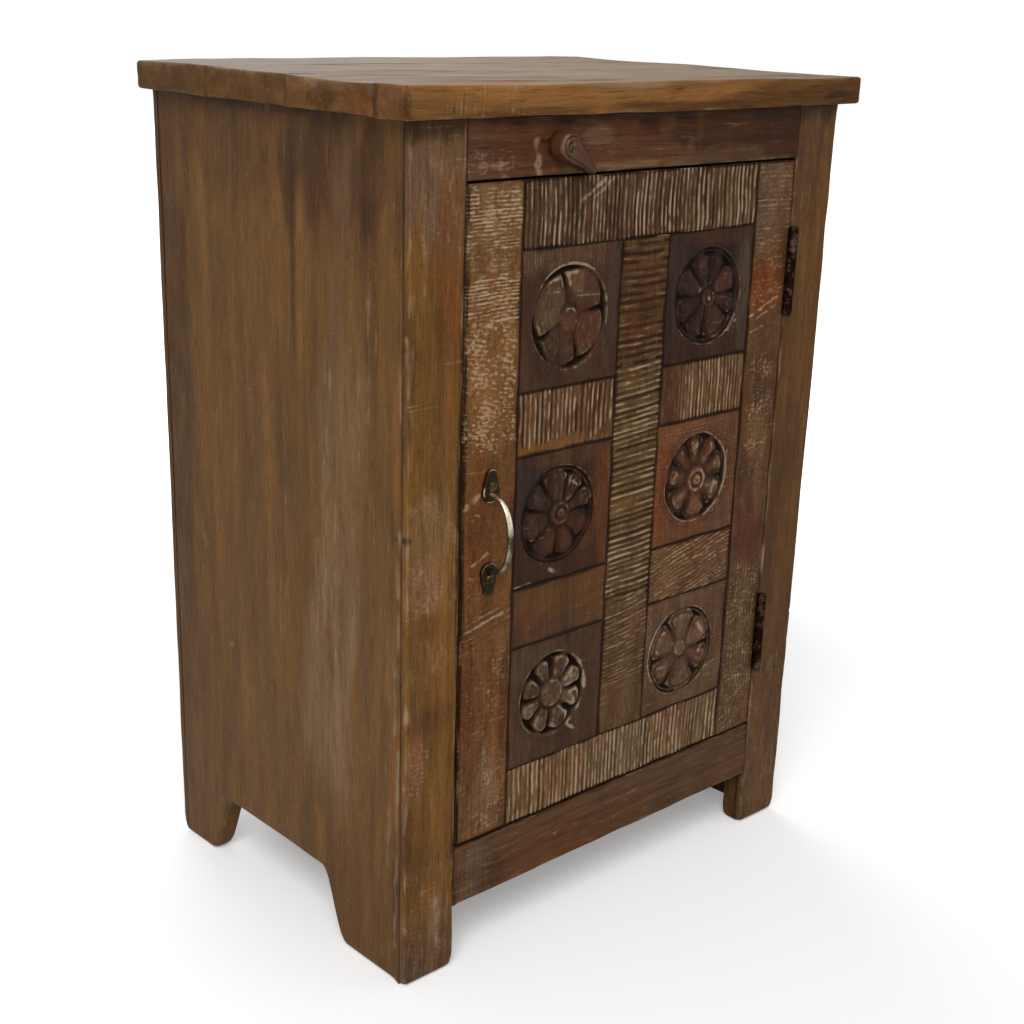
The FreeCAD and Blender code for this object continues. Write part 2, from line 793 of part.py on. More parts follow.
doc.recompute()
failed = [item.Label for item in doc.Objects if "Invalid" in item.State or "Error" in item.State]
if failed:
    raise RuntimeError(f"these did not build: {failed}")
for label, item in nodes.items():
    if item.Shape.isNull() or not item.Shape.isValid():
        raise RuntimeError(f"{label} has no valid shape")
os.makedirs("parts", exist_ok=True)
for label, item in nodes.items():
    item.Shape.exportStep(f"parts/{label}.step")
    print(label, round(item.Shape.Volume), "mm3,", len(item.Shape.Solids), "solids")
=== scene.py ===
import json
import math
import bpy
import numpy as np
from mathutils import Matrix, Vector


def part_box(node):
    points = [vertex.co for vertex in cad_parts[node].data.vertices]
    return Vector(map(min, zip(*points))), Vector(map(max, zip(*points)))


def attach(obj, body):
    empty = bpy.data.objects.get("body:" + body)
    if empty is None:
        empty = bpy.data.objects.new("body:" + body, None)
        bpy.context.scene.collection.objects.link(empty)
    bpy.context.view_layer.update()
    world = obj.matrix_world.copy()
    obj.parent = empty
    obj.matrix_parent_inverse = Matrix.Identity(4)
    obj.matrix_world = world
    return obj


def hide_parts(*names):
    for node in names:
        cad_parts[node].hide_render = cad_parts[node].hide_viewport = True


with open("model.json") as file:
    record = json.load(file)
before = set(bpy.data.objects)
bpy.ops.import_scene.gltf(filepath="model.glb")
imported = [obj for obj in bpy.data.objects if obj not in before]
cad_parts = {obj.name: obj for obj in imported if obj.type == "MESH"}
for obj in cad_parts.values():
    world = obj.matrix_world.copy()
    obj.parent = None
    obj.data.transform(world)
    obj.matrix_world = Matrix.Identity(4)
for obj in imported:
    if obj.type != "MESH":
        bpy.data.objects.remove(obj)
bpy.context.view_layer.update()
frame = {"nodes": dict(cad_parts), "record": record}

# Bedside cabinet of stained wood with carved rosette tiles, in metres, standing where the frame puts it.
# Each piece has one dictionary of its own values; lengths in those dictionaries are in millimetres.
mm = 0.001
record = frame["record"]
bodyOf = {node: body for body, members in record["behaviour"]["bodies"].items() for node in members}
print("Frame loaded:", len(frame["nodes"]), "nodes")


# Fields and small helpers

def shade(red, green, blue):
    # Screen colour to light: c / 12.92 while dark, otherwise ((c + 0.055) / 1.055) to the power 2.4
    c = np.array((red, green, blue)) / 255
    return np.where(c <= 0.04045, c / 12.92, ((c + 0.055) / 1.055) ** 2.4)


def ease(value, low, high):
    # Smooth step: t runs from 0 at low to 1 at high, the result is 3 t^2 - 2 t^3
    t = np.clip((value - low) / (high - low), 0, 1)
    return t * t * (3 - 2 * t)


def within(value, low, high, soft):
    # 1 between low and high, 0 outside, with a smooth step 2 * soft wide over each border
    return ease(value, low - soft, low + soft) * (1 - ease(value, high - soft, high + soft))


def lineGap(points, start, run):
    # Distance of each point to the nearest spot start + share * run, with share held between 0 and 1
    share = np.clip(((points - start) @ run) / (run @ run), 0, 1)
    return np.linalg.norm(points - start - share[..., None] * run, axis=-1)


def ripple(points, size, seed, waves=12):
    # Smooth random field, about -1 to 1: a sum of sine waves with seeded headings, phases and lengths
    draw = np.random.default_rng(seed)
    heading = draw.normal(size=(waves, points.shape[-1]))
    heading /= np.linalg.norm(heading, axis=1, keepdims=True) * (size * draw.uniform(0.6, 1.9, (waves, 1)))
    phase = draw.uniform(0, 2 * math.pi, waves)
    return np.sin(2 * math.pi * points @ heading.T + phase).sum(axis=-1) / math.sqrt(waves) / 1.3


def soften(sheet, reach):
    # Mean over a square of grid points 2 * reach + 1 wide, taken twice, from running sums
    width = 2 * reach + 1
    for axis in (0, 1, 0, 1):
        rows = np.pad(np.moveaxis(sheet, axis, 0), ((reach + 1, reach), (0, 0)), mode="edge").cumsum(axis=0)
        sheet = np.moveaxis((rows[width:] - rows[:-width]) / width, 0, axis)
    return sheet


def pieceName(node):
    # front_post_left becomes frontPostLeft
    first, *rest = node.split("_")
    return first + "".join(word.capitalize() for word in rest)


def corners(node):
    # Lowest and highest corner of a node of the frame, as arrays
    low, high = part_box(node)
    return np.array(low), np.array(high)


def nodePoints(node):
    # Every point of a node's own mesh, one row each
    vertices = frame["nodes"][node].data.vertices
    spots = np.zeros(len(vertices) * 3)
    vertices.foreach_get("co", spots)
    return spots.reshape(-1, 3)


def boardsOf(family):
    # Each board of a family in turn: node, corners, its own values over the family's, and a random seed
    for number, (node, changes) in enumerate(family["boards"].items()):
        low, high = corners(node)
        yield node, low, high, {**family, **changes}, family["seed"] + number * family["seedStep"]


def newObject(name, data):
    made = bpy.data.objects.new(name, data)
    bpy.context.scene.collection.objects.link(made)
    return made


# Short forms used in the dictionaries. A side of a block is (axis, whether it is the far end).
leftSide, rightSide, frontSide = (0, False), (0, True), (1, False)
rearSide, underside, upperSide = (1, True), (2, False), (2, True)
frontY, frontReach, leftX, leftReach = -131, 30, -200, 40


def onFront(*marks):
    # Stains and painted shade on the front of the cabinet, each (x, z, half width, half height, colour,
    # strength)
    return tuple((x, frontY, z, (wide, frontReach, tall), *rest) for x, z, wide, tall, *rest in marks)


def onLeft(*marks):
    # Stains and painted shade on the left side panel, each (y, z, half width, half height, colour, strength)
    return tuple((leftX, y, z, (leftReach, wide, tall), *rest) for y, z, wide, tall, *rest in marks)


def scuffsOnLeft(*marks):
    # Rubbed lines on the left side panel, each (y, z, y and z of the other end, width, strength)
    return tuple(((leftX, y, z), (leftX, endY, endZ), *rest) for y, z, endY, endZ, *rest in marks)


def zone(area, run, pitch, cut=0, lime=0, mottle=0, dark=0.3, tilt=0):
    # Patch of saw marks over area (lowest x, highest x, lowest z, highest z): run is the axis that the cuts
    # follow, pitch their distance, cut their depth, lime and mottle the pale wear, dark the grime in them,
    # and tilt their lean in degrees
    return {"area": area, "run": run, "pitch": pitch, "cut": cut, "lime": lime, "mottle": mottle,
            "dark": dark, "tilt": tilt}


# Surfaces

def makePiece(node, parts, material):
    # One object from parts of (points, quads, caps, tone, finish), the last two stored at each point
    points, tones, finishes, loops, sizes = [], [], [], [], []
    start = 0
    for spots, quads, caps, tone, finish in parts:
        points.append(spots)
        tones.append(tone)
        finishes.append(finish)
        loops.append((quads + start).ravel())
        sizes.append(np.full(len(quads), quads.shape[1]))
        for cap in caps:
            loops.append(cap + start)
            sizes.append(np.array([len(cap)]))
        start += len(spots)
    points, loops, sizes = np.concatenate(points), np.concatenate(loops), np.concatenate(sizes)
    mesh = bpy.data.meshes.new(pieceName(node))
    mesh.vertices.add(len(points))
    mesh.vertices.foreach_set("co", points.astype(np.float32).ravel())
    mesh.loops.add(len(loops))
    mesh.loops.foreach_set("vertex_index", loops.astype(np.int32))
    mesh.polygons.add(len(sizes))
    mesh.polygons.foreach_set("loop_start", (np.cumsum(sizes) - sizes).astype(np.int32))
    mesh.polygons.foreach_set("use_smooth", np.ones(len(sizes), bool))
    mesh.update(calc_edges=True)
    for label, values in (("tone", tones), ("finish", finishes)):
        layer = mesh.attributes.new(label, "FLOAT_COLOR", "POINT")
        layer.data.foreach_set("color", np.concatenate(values).astype(np.float32).ravel())
    mesh.materials.append(material)
    piece = newObject(pieceName(node), mesh)
    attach(piece, bodyOf[node])
    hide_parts(node)


def cuts(low, high, edge, step, extra=()):
    # Grid positions from low to high: close together inside rounded edges, even steps between, extra ones
    near = edge * np.array((0, 0.15, 0.4, 0.7, 1.0, 1.6))
    near = near[near < 0.4 * (high - low)]
    count = max(2, math.ceil((high - low - 2 * near[-1]) / step) + 1)
    between = np.linspace(low + near[-1], high - near[-1], count)
    places = np.concatenate((low + near[:-1], between, high - near[:-1][::-1], extra))
    places = np.unique(np.round(places, 7))
    return places[(places >= low - 1e-7) & (places <= high + 1e-7)]


def blockGrid(counts, hidden):
    # Grid points on the six sides of a block as index triples, and quads between them.
    # The middle of the hidden side, (axis, end), is one wide face inside a rim of quads.
    sheets, walk, rim = [], None, 6
    for axis in range(3):
        across, up = (axis + 1) % 3, (axis + 2) % 3
        i, j = np.meshgrid(np.arange(counts[across] - 1), np.arange(counts[up] - 1), indexing="ij")
        i, j = i.ravel(), j.ravel()
        for end in (0, counts[axis] - 1):
            kept = np.ones(i.shape, bool)
            if hidden == (axis, end > 0) and min(counts[across], counts[up]) > 2 * rim + 2:
                kept = (i < rim) | (i >= counts[across] - 1 - rim) | (j < rim) | (j >= counts[up] - 1 - rim)
                a, b = np.arange(rim, counts[across] - rim), np.arange(rim, counts[up] - rim)
                firstA, lastA = (np.full(len(b) - 1, value) for value in (a[0], a[-1]))
                firstB, lastB = (np.full(len(a) - 1, value) for value in (b[0], b[-1]))
                walk = np.zeros((2 * (len(a) + len(b)) - 4, 3), int)
                walk[:, axis] = end
                walk[:, across] = np.concatenate((a[:-1], lastA, a[:0:-1], firstA))
                walk[:, up] = np.concatenate((firstB, b[:-1], lastB, b[:0:-1]))
                walk = walk if end else walk[::-1]
            quad = np.zeros((kept.sum(), 4, 3), int)
            quad[..., axis] = end
            quad[..., across] = i[kept, None] + np.array((0, 1, 1, 0))
            quad[..., up] = j[kept, None] + np.array((0, 0, 1, 1))
            sheets.append(quad if end else quad[:, ::-1])
    strides = np.array((counts[1] * counts[2], counts[2], 1))
    keys, index = np.unique(np.concatenate(sheets) @ strides, return_inverse=True)
    triples = np.stack(np.unravel_index(keys, counts), axis=1)
    caps = [] if walk is None else [np.searchsorted(keys, walk @ strides)]
    return triples, index.reshape(-1, 4), caps


# The sheen over dark wood greys it, so its stain is this much deeper than the colour that is seen
sheenLoss = np.array((0.95, 0.86, 0.72))


def paint(points, look, seed):
    # Tone of each point: the board's own tone with slow bands along its grain, then its marks over it:
    # stains, and in places painted shadow, shade or sheen. A mark covers by its strength where the distance
    # from its middle, in parts of its reach, is under 0.65, and fades out at 1.25, both shifted by a ripple
    # that makes its borders uneven.
    tone = np.ones((len(points), 4))
    stretch = np.ones(3)
    stretch[look.get("grain", 2)] = 0.14
    along = points * stretch
    bands = 0.7 * ripple(along, 0.022, seed + 5, 30) + 0.5 * ripple(along, 0.06, seed + 7)
    bands *= look.get("bands", 0.12)
    tone[:, :3] = sheenLoss * shade(*look["tone"]) * (1 + bands)[:, None]
    uneven = 0.35 * ripple(along, 0.014, seed + 6, 24)
    for x, y, z, reach, colour, strength in look.get("stains", ()):
        gap = np.linalg.norm((points - np.array((x, y, z)) * mm) / (np.array(reach) * mm), axis=1)
        cover = strength * ease(1.25 - gap + uneven, 0, 0.6)
        markTone = sheenLoss * shade(*colour) * (1 + 0.6 * bands)[:, None]
        tone[:, :3] += (markTone - tone[:, :3]) * cover[:, None]
    return tone


# What the boards share at a joint: widths, in mm, of its grime line, the soft band of dust and painted shade
# about it and its unrubbed rim, the part of an edge's rounding that it leaves, and the length over which the
# wall of a rebate steps in
joint = {"seam": 1.6, "dust": 7, "unrubbed": 4, "rounding": 0.18, "step": 0.1}


def wornBlock(low, high, look, seed, face=None, bend=None, rebate=None, closeY=()):
    # Block with worn edges: for a point q on the block, inner is q held inside the block shrunk by r,
    # and the worn point is inner + r * unit(q - inner), less a slow wave of depth along that normal.
    # r swells and shrinks along the edges, grows at chips and worn feet, and is small at joints.
    # A face function gives the depth, lime and grime of the front side over its own grid of x and z; on the
    # carved tiles the lime also holds painted highlights and the grime painted shade.
    # Lime lies on rubbed edges and along scuffs; grime in seams at joints with a soft band of dust and
    # painted shade beside them, along edges (hem) and in a rebate.
    # A rebate (axis, wall, keep, behind, fromZ, toZ) draws the block in behind a depth, between two heights:
    # along its axis a point moves to wall + (point - wall) * (keep - wall) / (far side - wall).
    edge, step, seamWidth = look["edge"] * mm, joint["step"] * mm, joint["seam"] * mm
    extra = [(), closeY, ()]
    if rebate:
        way, wall, keep, behind, fromZ, toZ = rebate
        extra[1] = np.concatenate((closeY, behind - np.array((1.2, 0.6, 0.25, 0.12, 0.0)) * mm))
        extra[2] = np.array((fromZ - step, fromZ, toZ, toZ + step))
    places = [cuts(low[a], high[a], edge, look["steps"][a] * mm, extra[a]) for a in range(3)]
    triples, quads, caps = blockGrid([len(p) for p in places], look.get("hidden"))
    q = np.stack([places[a][triples[:, a]] for a in range(3)], axis=1)
    r = edge * np.clip(0.8 + 0.45 * ripple(q, 0.045, seed), 0.35, 1.5)
    chips = ripple(q, 0.013, seed + 1) + 0.4 * ripple(q, 0.06, seed + 2)
    r += look.get("chips", 0) * mm * ease(chips, 1.0, 1.5)
    r += look.get("footWear", 0) * mm * (1 - ease(q[:, 2], 0, 0.012))
    seam, met, dust = np.zeros(len(q)), np.zeros(len(q)), 0.5 + 0.6 * ripple(q, 0.03, seed + 10)
    for axis, end in look.get("joints", ()):
        away = np.abs(q[:, axis] - (high if end else low)[axis])
        r *= joint["rounding"] + (1 - joint["rounding"]) * ease(away, 0, 5 * edge)
        # Beside each seam a soft band, dust and painted shade, widens the grime line
        line = np.maximum(1 - ease(away, 0, seamWidth), 0.5 * dust * (1 - ease(away, 0, joint["dust"] * mm)))
        seam = np.maximum(seam, (away > 1e-6) * line)
        met = np.maximum(met, 1 - ease(away, 0, joint["unrubbed"] * mm))
    r = np.minimum(r, 0.45 * (high - low).min())[:, None]
    inner = np.clip(q, low + r, high - r)
    normal = (q - inner) / np.linalg.norm(q - inner, axis=1, keepdims=True)
    wave = look.get("wave", 0.3) * mm * np.clip(0.5 + 0.5 * ripple(q, 0.08, seed + 3), 0, None)
    p = inner + r * normal
    p -= normal * wave[:, None]
    arris = np.sort(np.minimum(q - low, high - q), axis=1)[:, 1]
    rub = (1 - ease(arris, 0.3 * mm, look.get("rubWidth", 3.5) * mm)) * (1 - met)
    rub *= 0.55 + 0.55 * ripple(q, 0.03, seed + 4)
    hem = look.get("hem", 0) * np.clip(dust, 0.15, 1) * (1 - ease(arris, 0.5 * mm, 2.0 * mm))
    finish = np.zeros((len(q), 4))
    finish[:, 0] = look.get("lime", 0.05) + look.get("rub", 0.4) * rub
    finish[:, 1] = look.get("grime", 0.1) + look.get("seamGrime", 0.9) * seam + hem
    finish[:, 3] = (seed * 0.137) % 1
    if face:
        depth, lime, grime = face(places[0], places[2], look, seed)
        fade = 1 - ease(q[:, 1], low[1], low[1] + look.get("fade", 7) * mm)
        i, k = triples[:, 0], triples[:, 2]
        p[:, 1] += depth[i, k] * fade
        finish[:, 0] += lime[i, k] * fade
        finish[:, 1] += grime[i, k] * fade
        finish[:, 2] = np.clip(depth[i, k] / (look.get("fullDepth", 1) * mm), 0, 1) * fade
    for start, stop, width, strength in look.get("scuffs", ()):
        start, stop = np.array(start) * mm, np.array(stop) * mm
        gap = lineGap(q, start, stop - start) * (1 + 0.4 * ripple(q, 0.02, seed + 8))
        mark = strength * (1 - ease(gap, 0.25 * width * mm, width * mm))
        finish[:, 0] += mark * (0.65 + 0.5 * ripple(q, 0.012, seed + 9))
    if rebate:
        far = high[way] if abs(wall - low[way]) < 1e-6 else low[way]
        drawn = ease(q[:, 1], behind - 0.12 * mm, behind)
        drawn *= ease(q[:, 2], fromZ - step, fromZ) * (1 - ease(q[:, 2], toZ, toZ + step))
        p[:, way] = wall + (p[:, way] - wall) * (1 - drawn * (1 - (keep - wall) / (far - wall)))
        finish[:, 1] += 0.8 * (1 - ease(np.abs(q[:, 1] - behind), 0, seamWidth))
    tone = paint(q, look, seed)
    if bend:
        p = bend(p, q)
    return p, quads, caps, tone, np.clip(finish, 0, 1)


sawDrift = 0.8  # how far a saw cut wanders sideways, in mm


def sawMarks(across, along, pitch, seed):
    # Cuts stand at running sums of uneven pitches. Three results: groove depth 0 to 1, a rounded V of each
    # cut's own depth that fades in and out along its run; crest, 1 on the middle of each ridge and weaker
    # where the ridge is broken; and a number for each ridge.
    draw = np.random.default_rng(seed)
    count = int(np.ptp(across) / pitch * 1.4) + 12
    centres = across.min() - 3 * pitch + np.cumsum(pitch * draw.uniform(0.75, 1.25, count))
    depth, lot = draw.uniform(0.45, 1, count), draw.uniform(0, 1, count)
    place = across + sawDrift * mm * ripple(np.stack((across * 0.4, along), -1), 0.05, seed + 1)
    right = np.searchsorted(centres, place).clip(1, count - 1)
    before, after = centres[right - 1], centres[right]
    pick = np.where(place - before < after - place, right - 1, right)
    away = np.clip(2 * np.minimum(place - before, after - place) / (after - before), 0, 1)
    fade = ease(ripple(np.stack((centres[pick] * 9, along), -1), 0.05, seed + 2), -1.3, 0.0)
    broken = 0.3 + 0.7 * ease(ripple(np.stack((centres[right] * 9, along), -1), 0.014, seed + 3), -0.7, 0.2)
    return depth[pick] * fade * (1 - away) ** 1.1, ease(away, 0.35, 1.0) * broken, lot[right]


def sawnFace(xs, zs, look, seed):
    # Depth, lime and grime over a grid: zones of saw marks and mottling, single strokes by distance to a
    # line, and a fine roughness over all
    x, z = np.meshgrid(xs, zs, indexing="ij")
    flat = np.stack((x, z), -1)
    depth, lime, grime = (np.zeros(x.shape) for _ in range(3))
    for number, patch in enumerate(look.get("zones", ())):
        own = seed * 31 + number * 7
        x0, x1, z0, z1 = (value * mm for value in patch["area"])
        frayed = 0.004 * ripple(flat, 0.02, own)
        inside = within(x + frayed, x0, x1, 0.002)
        inside *= within(z + frayed, z0, z1, 0.002)
        tilt = math.tan(math.radians(patch["tilt"]))
        across, along = (z - x * tilt, x) if patch["run"] == "x" else (x - z * tilt, z)
        comb, crest, lot = sawMarks(across, along, patch["pitch"] * mm, own)
        broad = 0.5 + 0.5 * ripple(flat, 0.03, own + 3)
        depth = np.maximum(depth, inside * comb * patch["cut"] * mm)
        lime += inside * patch["lime"] * crest * (0.4 + 0.8 * lot) * (0.6 + 0.6 * broad)
        spots = ripple(flat * np.array((0.7, 1.4)), 0.0032, own + 4, 40) + 0.5 * ripple(flat, 0.02, own + 5)
        lime += inside * patch["mottle"] * ease(spots, -0.5, 1.0)
        grime += inside * comb * patch["dark"]
    for x0, z0, x1, z1, width, strength in look.get("strokes", ()):
        start, run = np.array((x0, z0)) * mm, np.array((x1 - x0, z1 - z0)) * mm
        gap = lineGap(flat, start, run) + 0.0006 * ripple(flat, 0.006, seed + 9)
        mask = (1 - ease(gap, 0.2 * width * mm, width * mm)) * (0.6 + 0.4 * ripple(flat, 0.01, seed + 8))
        lime += mask * strength
        depth += mask * 0.25 * mm
    depth += 0.08 * mm * (0.5 + 0.5 * ripple(flat, 0.006, seed + 11))
    return depth, lime, grime


def rosetteFace(xs, zs, look, seed):
    # Carved rosette in polar co-ordinates. Over a sunken ground each petal rises with m, its soft least
    # distance to the gap before it, the gap after it, the ring and the boss:
    # m = (sum of distance ^ -p) ^ (-1 / p). Ring beads and boss are half-round rises, and the highest of all
    # counts. Lime lies where the surface stands above a softened copy of itself, more on one side as a
    # painted highlight, and grime with painted shade where below. On some tiles strokes trace the ring's lit
    # arc as painted highlight.
    x, z = np.meshgrid(xs / mm, zs / mm, indexing="ij")
    flat = np.stack((x, z), -1) * mm
    dx, dz = x - look["centre"][0], z - look["centre"][1]
    far, angle = np.hypot(dx, dz) * (1 + 0.02 * ripple(flat, 0.05, seed)), np.arctan2(dz, dx)
    angle = angle + 0.05 * ripple(flat, 0.025, seed + 2)
    ring, shallow, crown = look["ring"], look["shallow"], look["crown"]
    gaps = np.sort(np.radians(look["gaps"]) % (2 * math.pi))
    turns = (angle[..., None] - gaps) % (2 * math.pi)
    petal, past = turns.argmin(axis=-1), turns.min(axis=-1)
    span = ((np.roll(gaps, -1) - gaps) % (2 * math.pi))[petal]
    gate = np.abs(np.cos(math.pi * past / span))
    ground = -look["sink"] * (shallow + (1 - shallow) * gate ** 1.5 * ease(far, 0.4 * ring, 0.9 * ring))
    width = look["gapWidth"] + look["gapSpread"] * far
    lot = np.random.default_rng(seed + 3).uniform(-1, 1, (2, len(gaps)))[:, petal]
    outside = ring - look["rim"] * (1 + 0.5 * lot[1]) - look["scallop"] * gate ** 3 - far
    walls = [far * np.sin(np.minimum(turn, 1.5)) - width for turn in (past, span - past)]
    walls += [outside, far - look["boss"][2] - 0.4]
    m = sum(np.maximum(wall, 1e-3) ** -look["power"] for wall in walls) ** (-1 / look["power"])
    top = look["petalTop"] + 0.35 * lot[0] + crown * (1 - np.exp(-m / 3.0)) - crown * 0.6
    vein = look.get("vein", 0) * np.exp(-((m - look.get("veinAt", 2.6)) / 0.6) ** 2)
    top -= vein * ease(far, 0.4 * ring, 0.65 * ring)
    height = np.where(far < ring, ground * (1 - ease(far, ring - 0.8, ring)), 0.0)
    petals = ground + (top - ground) * ease(m, 0, look["wall"])
    height = np.where(far < ring, np.maximum(height, petals), height)
    for place, half, crest in look["beads"]:
        lift = np.sqrt(np.clip(1 - ((far - ring - place) / half) ** 2, 0, 1))
        weak = 1 - look.get("faint", 0) * (0.5 + 0.5 * np.cos(angle - look.get("faintAngle", 0)))
        height = np.where(lift > 0, np.maximum(height, ground + (crest - ground) * lift * weak), height)
        height -= 1.1 * weak * np.exp(-((far - ring - place - half - 0.4) / 0.6) ** 2)
    bossX, bossZ, bossRadius = look["boss"]
    boss = np.hypot(dx - bossX, (dz - bossZ) * look.get("bossSquash", 1)) / bossRadius
    dome = look["bossTop"] + 0.7 * np.clip(1 - boss ** 2, 0, 1)
    dome -= look["bossGroove"] * np.exp(-((boss - 0.52) / 0.1) ** 2)
    dome = ground + (dome - ground) * (1 - ease(boss, 0.86, 1.1))
    height = np.where(boss < 1.2, np.maximum(np.where(boss > 1, height, ground), dome), height)
    height += 0.14 * ripple(flat, 0.0045, seed + 40) * (0.5 + 0.8 * (far < ring)) - 0.25
    height -= 0.3 * ease(ripple(flat * np.array((0.5, 2)), 0.004, seed + 41, 40), 0.9, 1.6)
    height = soften(height, 1)
    edge = height - soften(height, 3)
    # Pale edges weighted toward one side: partly rubbed lime, partly painted highlight
    highlightFacing = 0.4 + 0.9 * np.clip(np.cos(angle - math.radians(look.get("limeSide", 60))), 0, 1) ** 1.5
    lime = look["limeEdge"] * ease(edge, 0.1, 0.6) * highlightFacing * (0.8 + 0.6 * ripple(flat, 0.01, seed + 50))
    for x0, z0, x1, z1, breadth, strength in look["strokes"]:
        gap = lineGap(flat / mm, np.array((x0, z0)), np.array((x1 - x0, z1 - z0)))
        stroke = strength * (1 - ease(gap, 0.3 * breadth, breadth))
        lime += stroke * (0.7 + 0.3 * ripple(flat, 0.006, seed + 9))
    worn = ease(height, -1.6, -0.3) * (far < ring) * (0.7 + 0.5 * ripple(flat, 0.009, seed + 53, 24))
    lime += look["worn"] * worn
    for patch in look.get("zones", ()):
        x0, x1, z0, z1 = patch["area"]
        inside = within(x, x0, x1, 2) * within(z, z0, z1, 2) * (far > ring + 1)
        across, along = (z * mm, x * mm) if patch["run"] == "x" else (x * mm, z * mm)
        comb, crest, lot = sawMarks(across, along, patch["pitch"] * mm, seed + 60)
        lime += inside * patch["lime"] * crest * (0.4 + 0.8 * lot)
        height -= inside * comb * patch["cut"]
    spots = ripple(flat, 0.004, seed + 51, 30) + ripple(flat, 0.02, seed + 52)
    lime += look.get("mottle", 0) * ease(spots, 0.2, 1.6)
    # The third result darkens the hollows: grime, and painted shade where the relief is low
    return np.clip(-height, 0, None) * mm, lime, ease(-edge, 0.12, 0.9)


def leafOutline(pivot, pivotRadius, tip, tipRadius, count):
    # Outline round two circles, both in the plane of x and z: on each arc a point is centre + radius * unit
    # normal, and straight runs join the arcs. The second result is each point's spot on the line of centres.
    pivot, tip = np.array(pivot, float), np.array(tip, float)
    gap = np.linalg.norm(tip - pivot)
    heading = math.atan2(*(tip - pivot)[::-1])
    bend = math.acos((pivotRadius - tipRadius) / gap)
    arcs, steps = [], 60
    for centre, radius, start, stop in ((tip, tipRadius, -bend, bend),
                                        (pivot, pivotRadius, bend, 2 * math.pi - bend)):
        turn = np.linspace(heading + start, heading + stop, steps)
        arc = centre + radius * np.stack((np.cos(turn), np.sin(turn)), 1)
        arcs.append((arc, np.repeat(centre[None], steps, 0)))
    points, roots = (np.concatenate([arc[k] for arc in arcs] + [arcs[0][k][:1]]) for k in (0, 1))
    run = np.concatenate(((0,), np.cumsum(np.linalg.norm(np.diff(points, axis=0), axis=1))))
    even = np.linspace(0, run[-1], count, endpoint=False)
    return tuple(np.stack([np.interp(even, run, part[:, k]) for k in (0, 1)], 1) for part in (points, roots))


def ringSkin(rings):
    # Quads over rings of points, (ring, point, xyz), with a wide face closing each end
    rows, count = rings.shape[:2]
    index = np.arange(rows * count).reshape(rows, count)
    ahead = np.roll(index, -1, 1)
    quads = np.stack((index[:-1], ahead[:-1], ahead[1:], index[1:]), -1).reshape(-1, 4)
    return rings.reshape(-1, 3), quads, [index[0][::-1], index[-1]]


# Materials

def add(tree, kind, feeds=None, **settings):
    # One node: its settings by name, and its inputs by name or number, from a value or another node's output
    node = tree.nodes.new(kind)
    for key, value in settings.items():
        setattr(node, key, value)
    for key, value in (feeds or {}).items():
        if isinstance(value, bpy.types.NodeSocket):
            tree.links.new(value, node.inputs[key])
        else:
            node.inputs[key].default_value = value
    return node


def maths(tree, how, a, b, clamp=False):
    return add(tree, "ShaderNodeMath", {0: a, 1: b}, operation=how, use_clamp=clamp).outputs[0]


def times(tree, a, b):
    return maths(tree, "MULTIPLY", a, b)


def plus(tree, a, b):
    return maths(tree, "ADD", a, b)


def swing(tree, value, much):
    # Noise about its middle: (value - 0.5) * much
    return times(tree, maths(tree, "SUBTRACT", value, 0.5), much)


def band(tree, value, low, high, start=0.0, end=1.0):
    # Smooth step from start at low to end at high
    feeds = {"Value": value, "From Min": low, "From Max": high, "To Min": start, "To Max": end}
    return add(tree, "ShaderNodeMapRange", feeds, interpolation_type="SMOOTHSTEP").outputs[0]


def blend(tree, share, a, b):
    # Colour a, with a share of colour b mixed into it; b is a screen colour
    return add(tree, "ShaderNodeMix", {0: share, 6: a, 7: colour4(b)}, data_type="RGBA").outputs[2]


def noise(tree, vector, scale, detail=3.0, roughness=0.55, seed=None):
    # Noise from 0 to 1; a seed shifts it along a fourth axis, so that boards differ
    feeds = {"Vector": vector, "Scale": scale, "Detail": detail, "Roughness": roughness}
    if seed is not None:
        feeds["W"] = seed
    return add(tree, "ShaderNodeTexNoise", feeds, noise_dimensions="3D" if seed is None else "4D").outputs[0]


def scaled(tree, vector, scale, rotation=(0, 0, 0)):
    return add(tree, "ShaderNodeMapping", {"Vector": vector, "Scale": scale, "Rotation": rotation}).outputs[0]


def colour4(colour):
    return (*shade(*colour), 1.0)


def newMaterial(name):
    made = bpy.data.materials.new(name)
    made.use_nodes = True
    return made, made.node_tree, made.node_tree.nodes["Principled BSDF"]


def readFinish(tree):
    # The finish stored at each point of a piece: lime (with some painted highlight), grime (with some painted
    # shade), depth, and the piece's own number
    finish = add(tree, "ShaderNodeAttribute", attribute_name="finish").outputs
    return *add(tree, "ShaderNodeSeparateColor", {0: finish["Color"]}).outputs, finish["Alpha"]


def addBump(tree, shader, height, strength, distance):
    bump = add(tree, "ShaderNodeBump", {"Height": height, "Strength": strength, "Distance": distance})
    tree.links.new(bump.outputs[0], shader.inputs["Normal"])


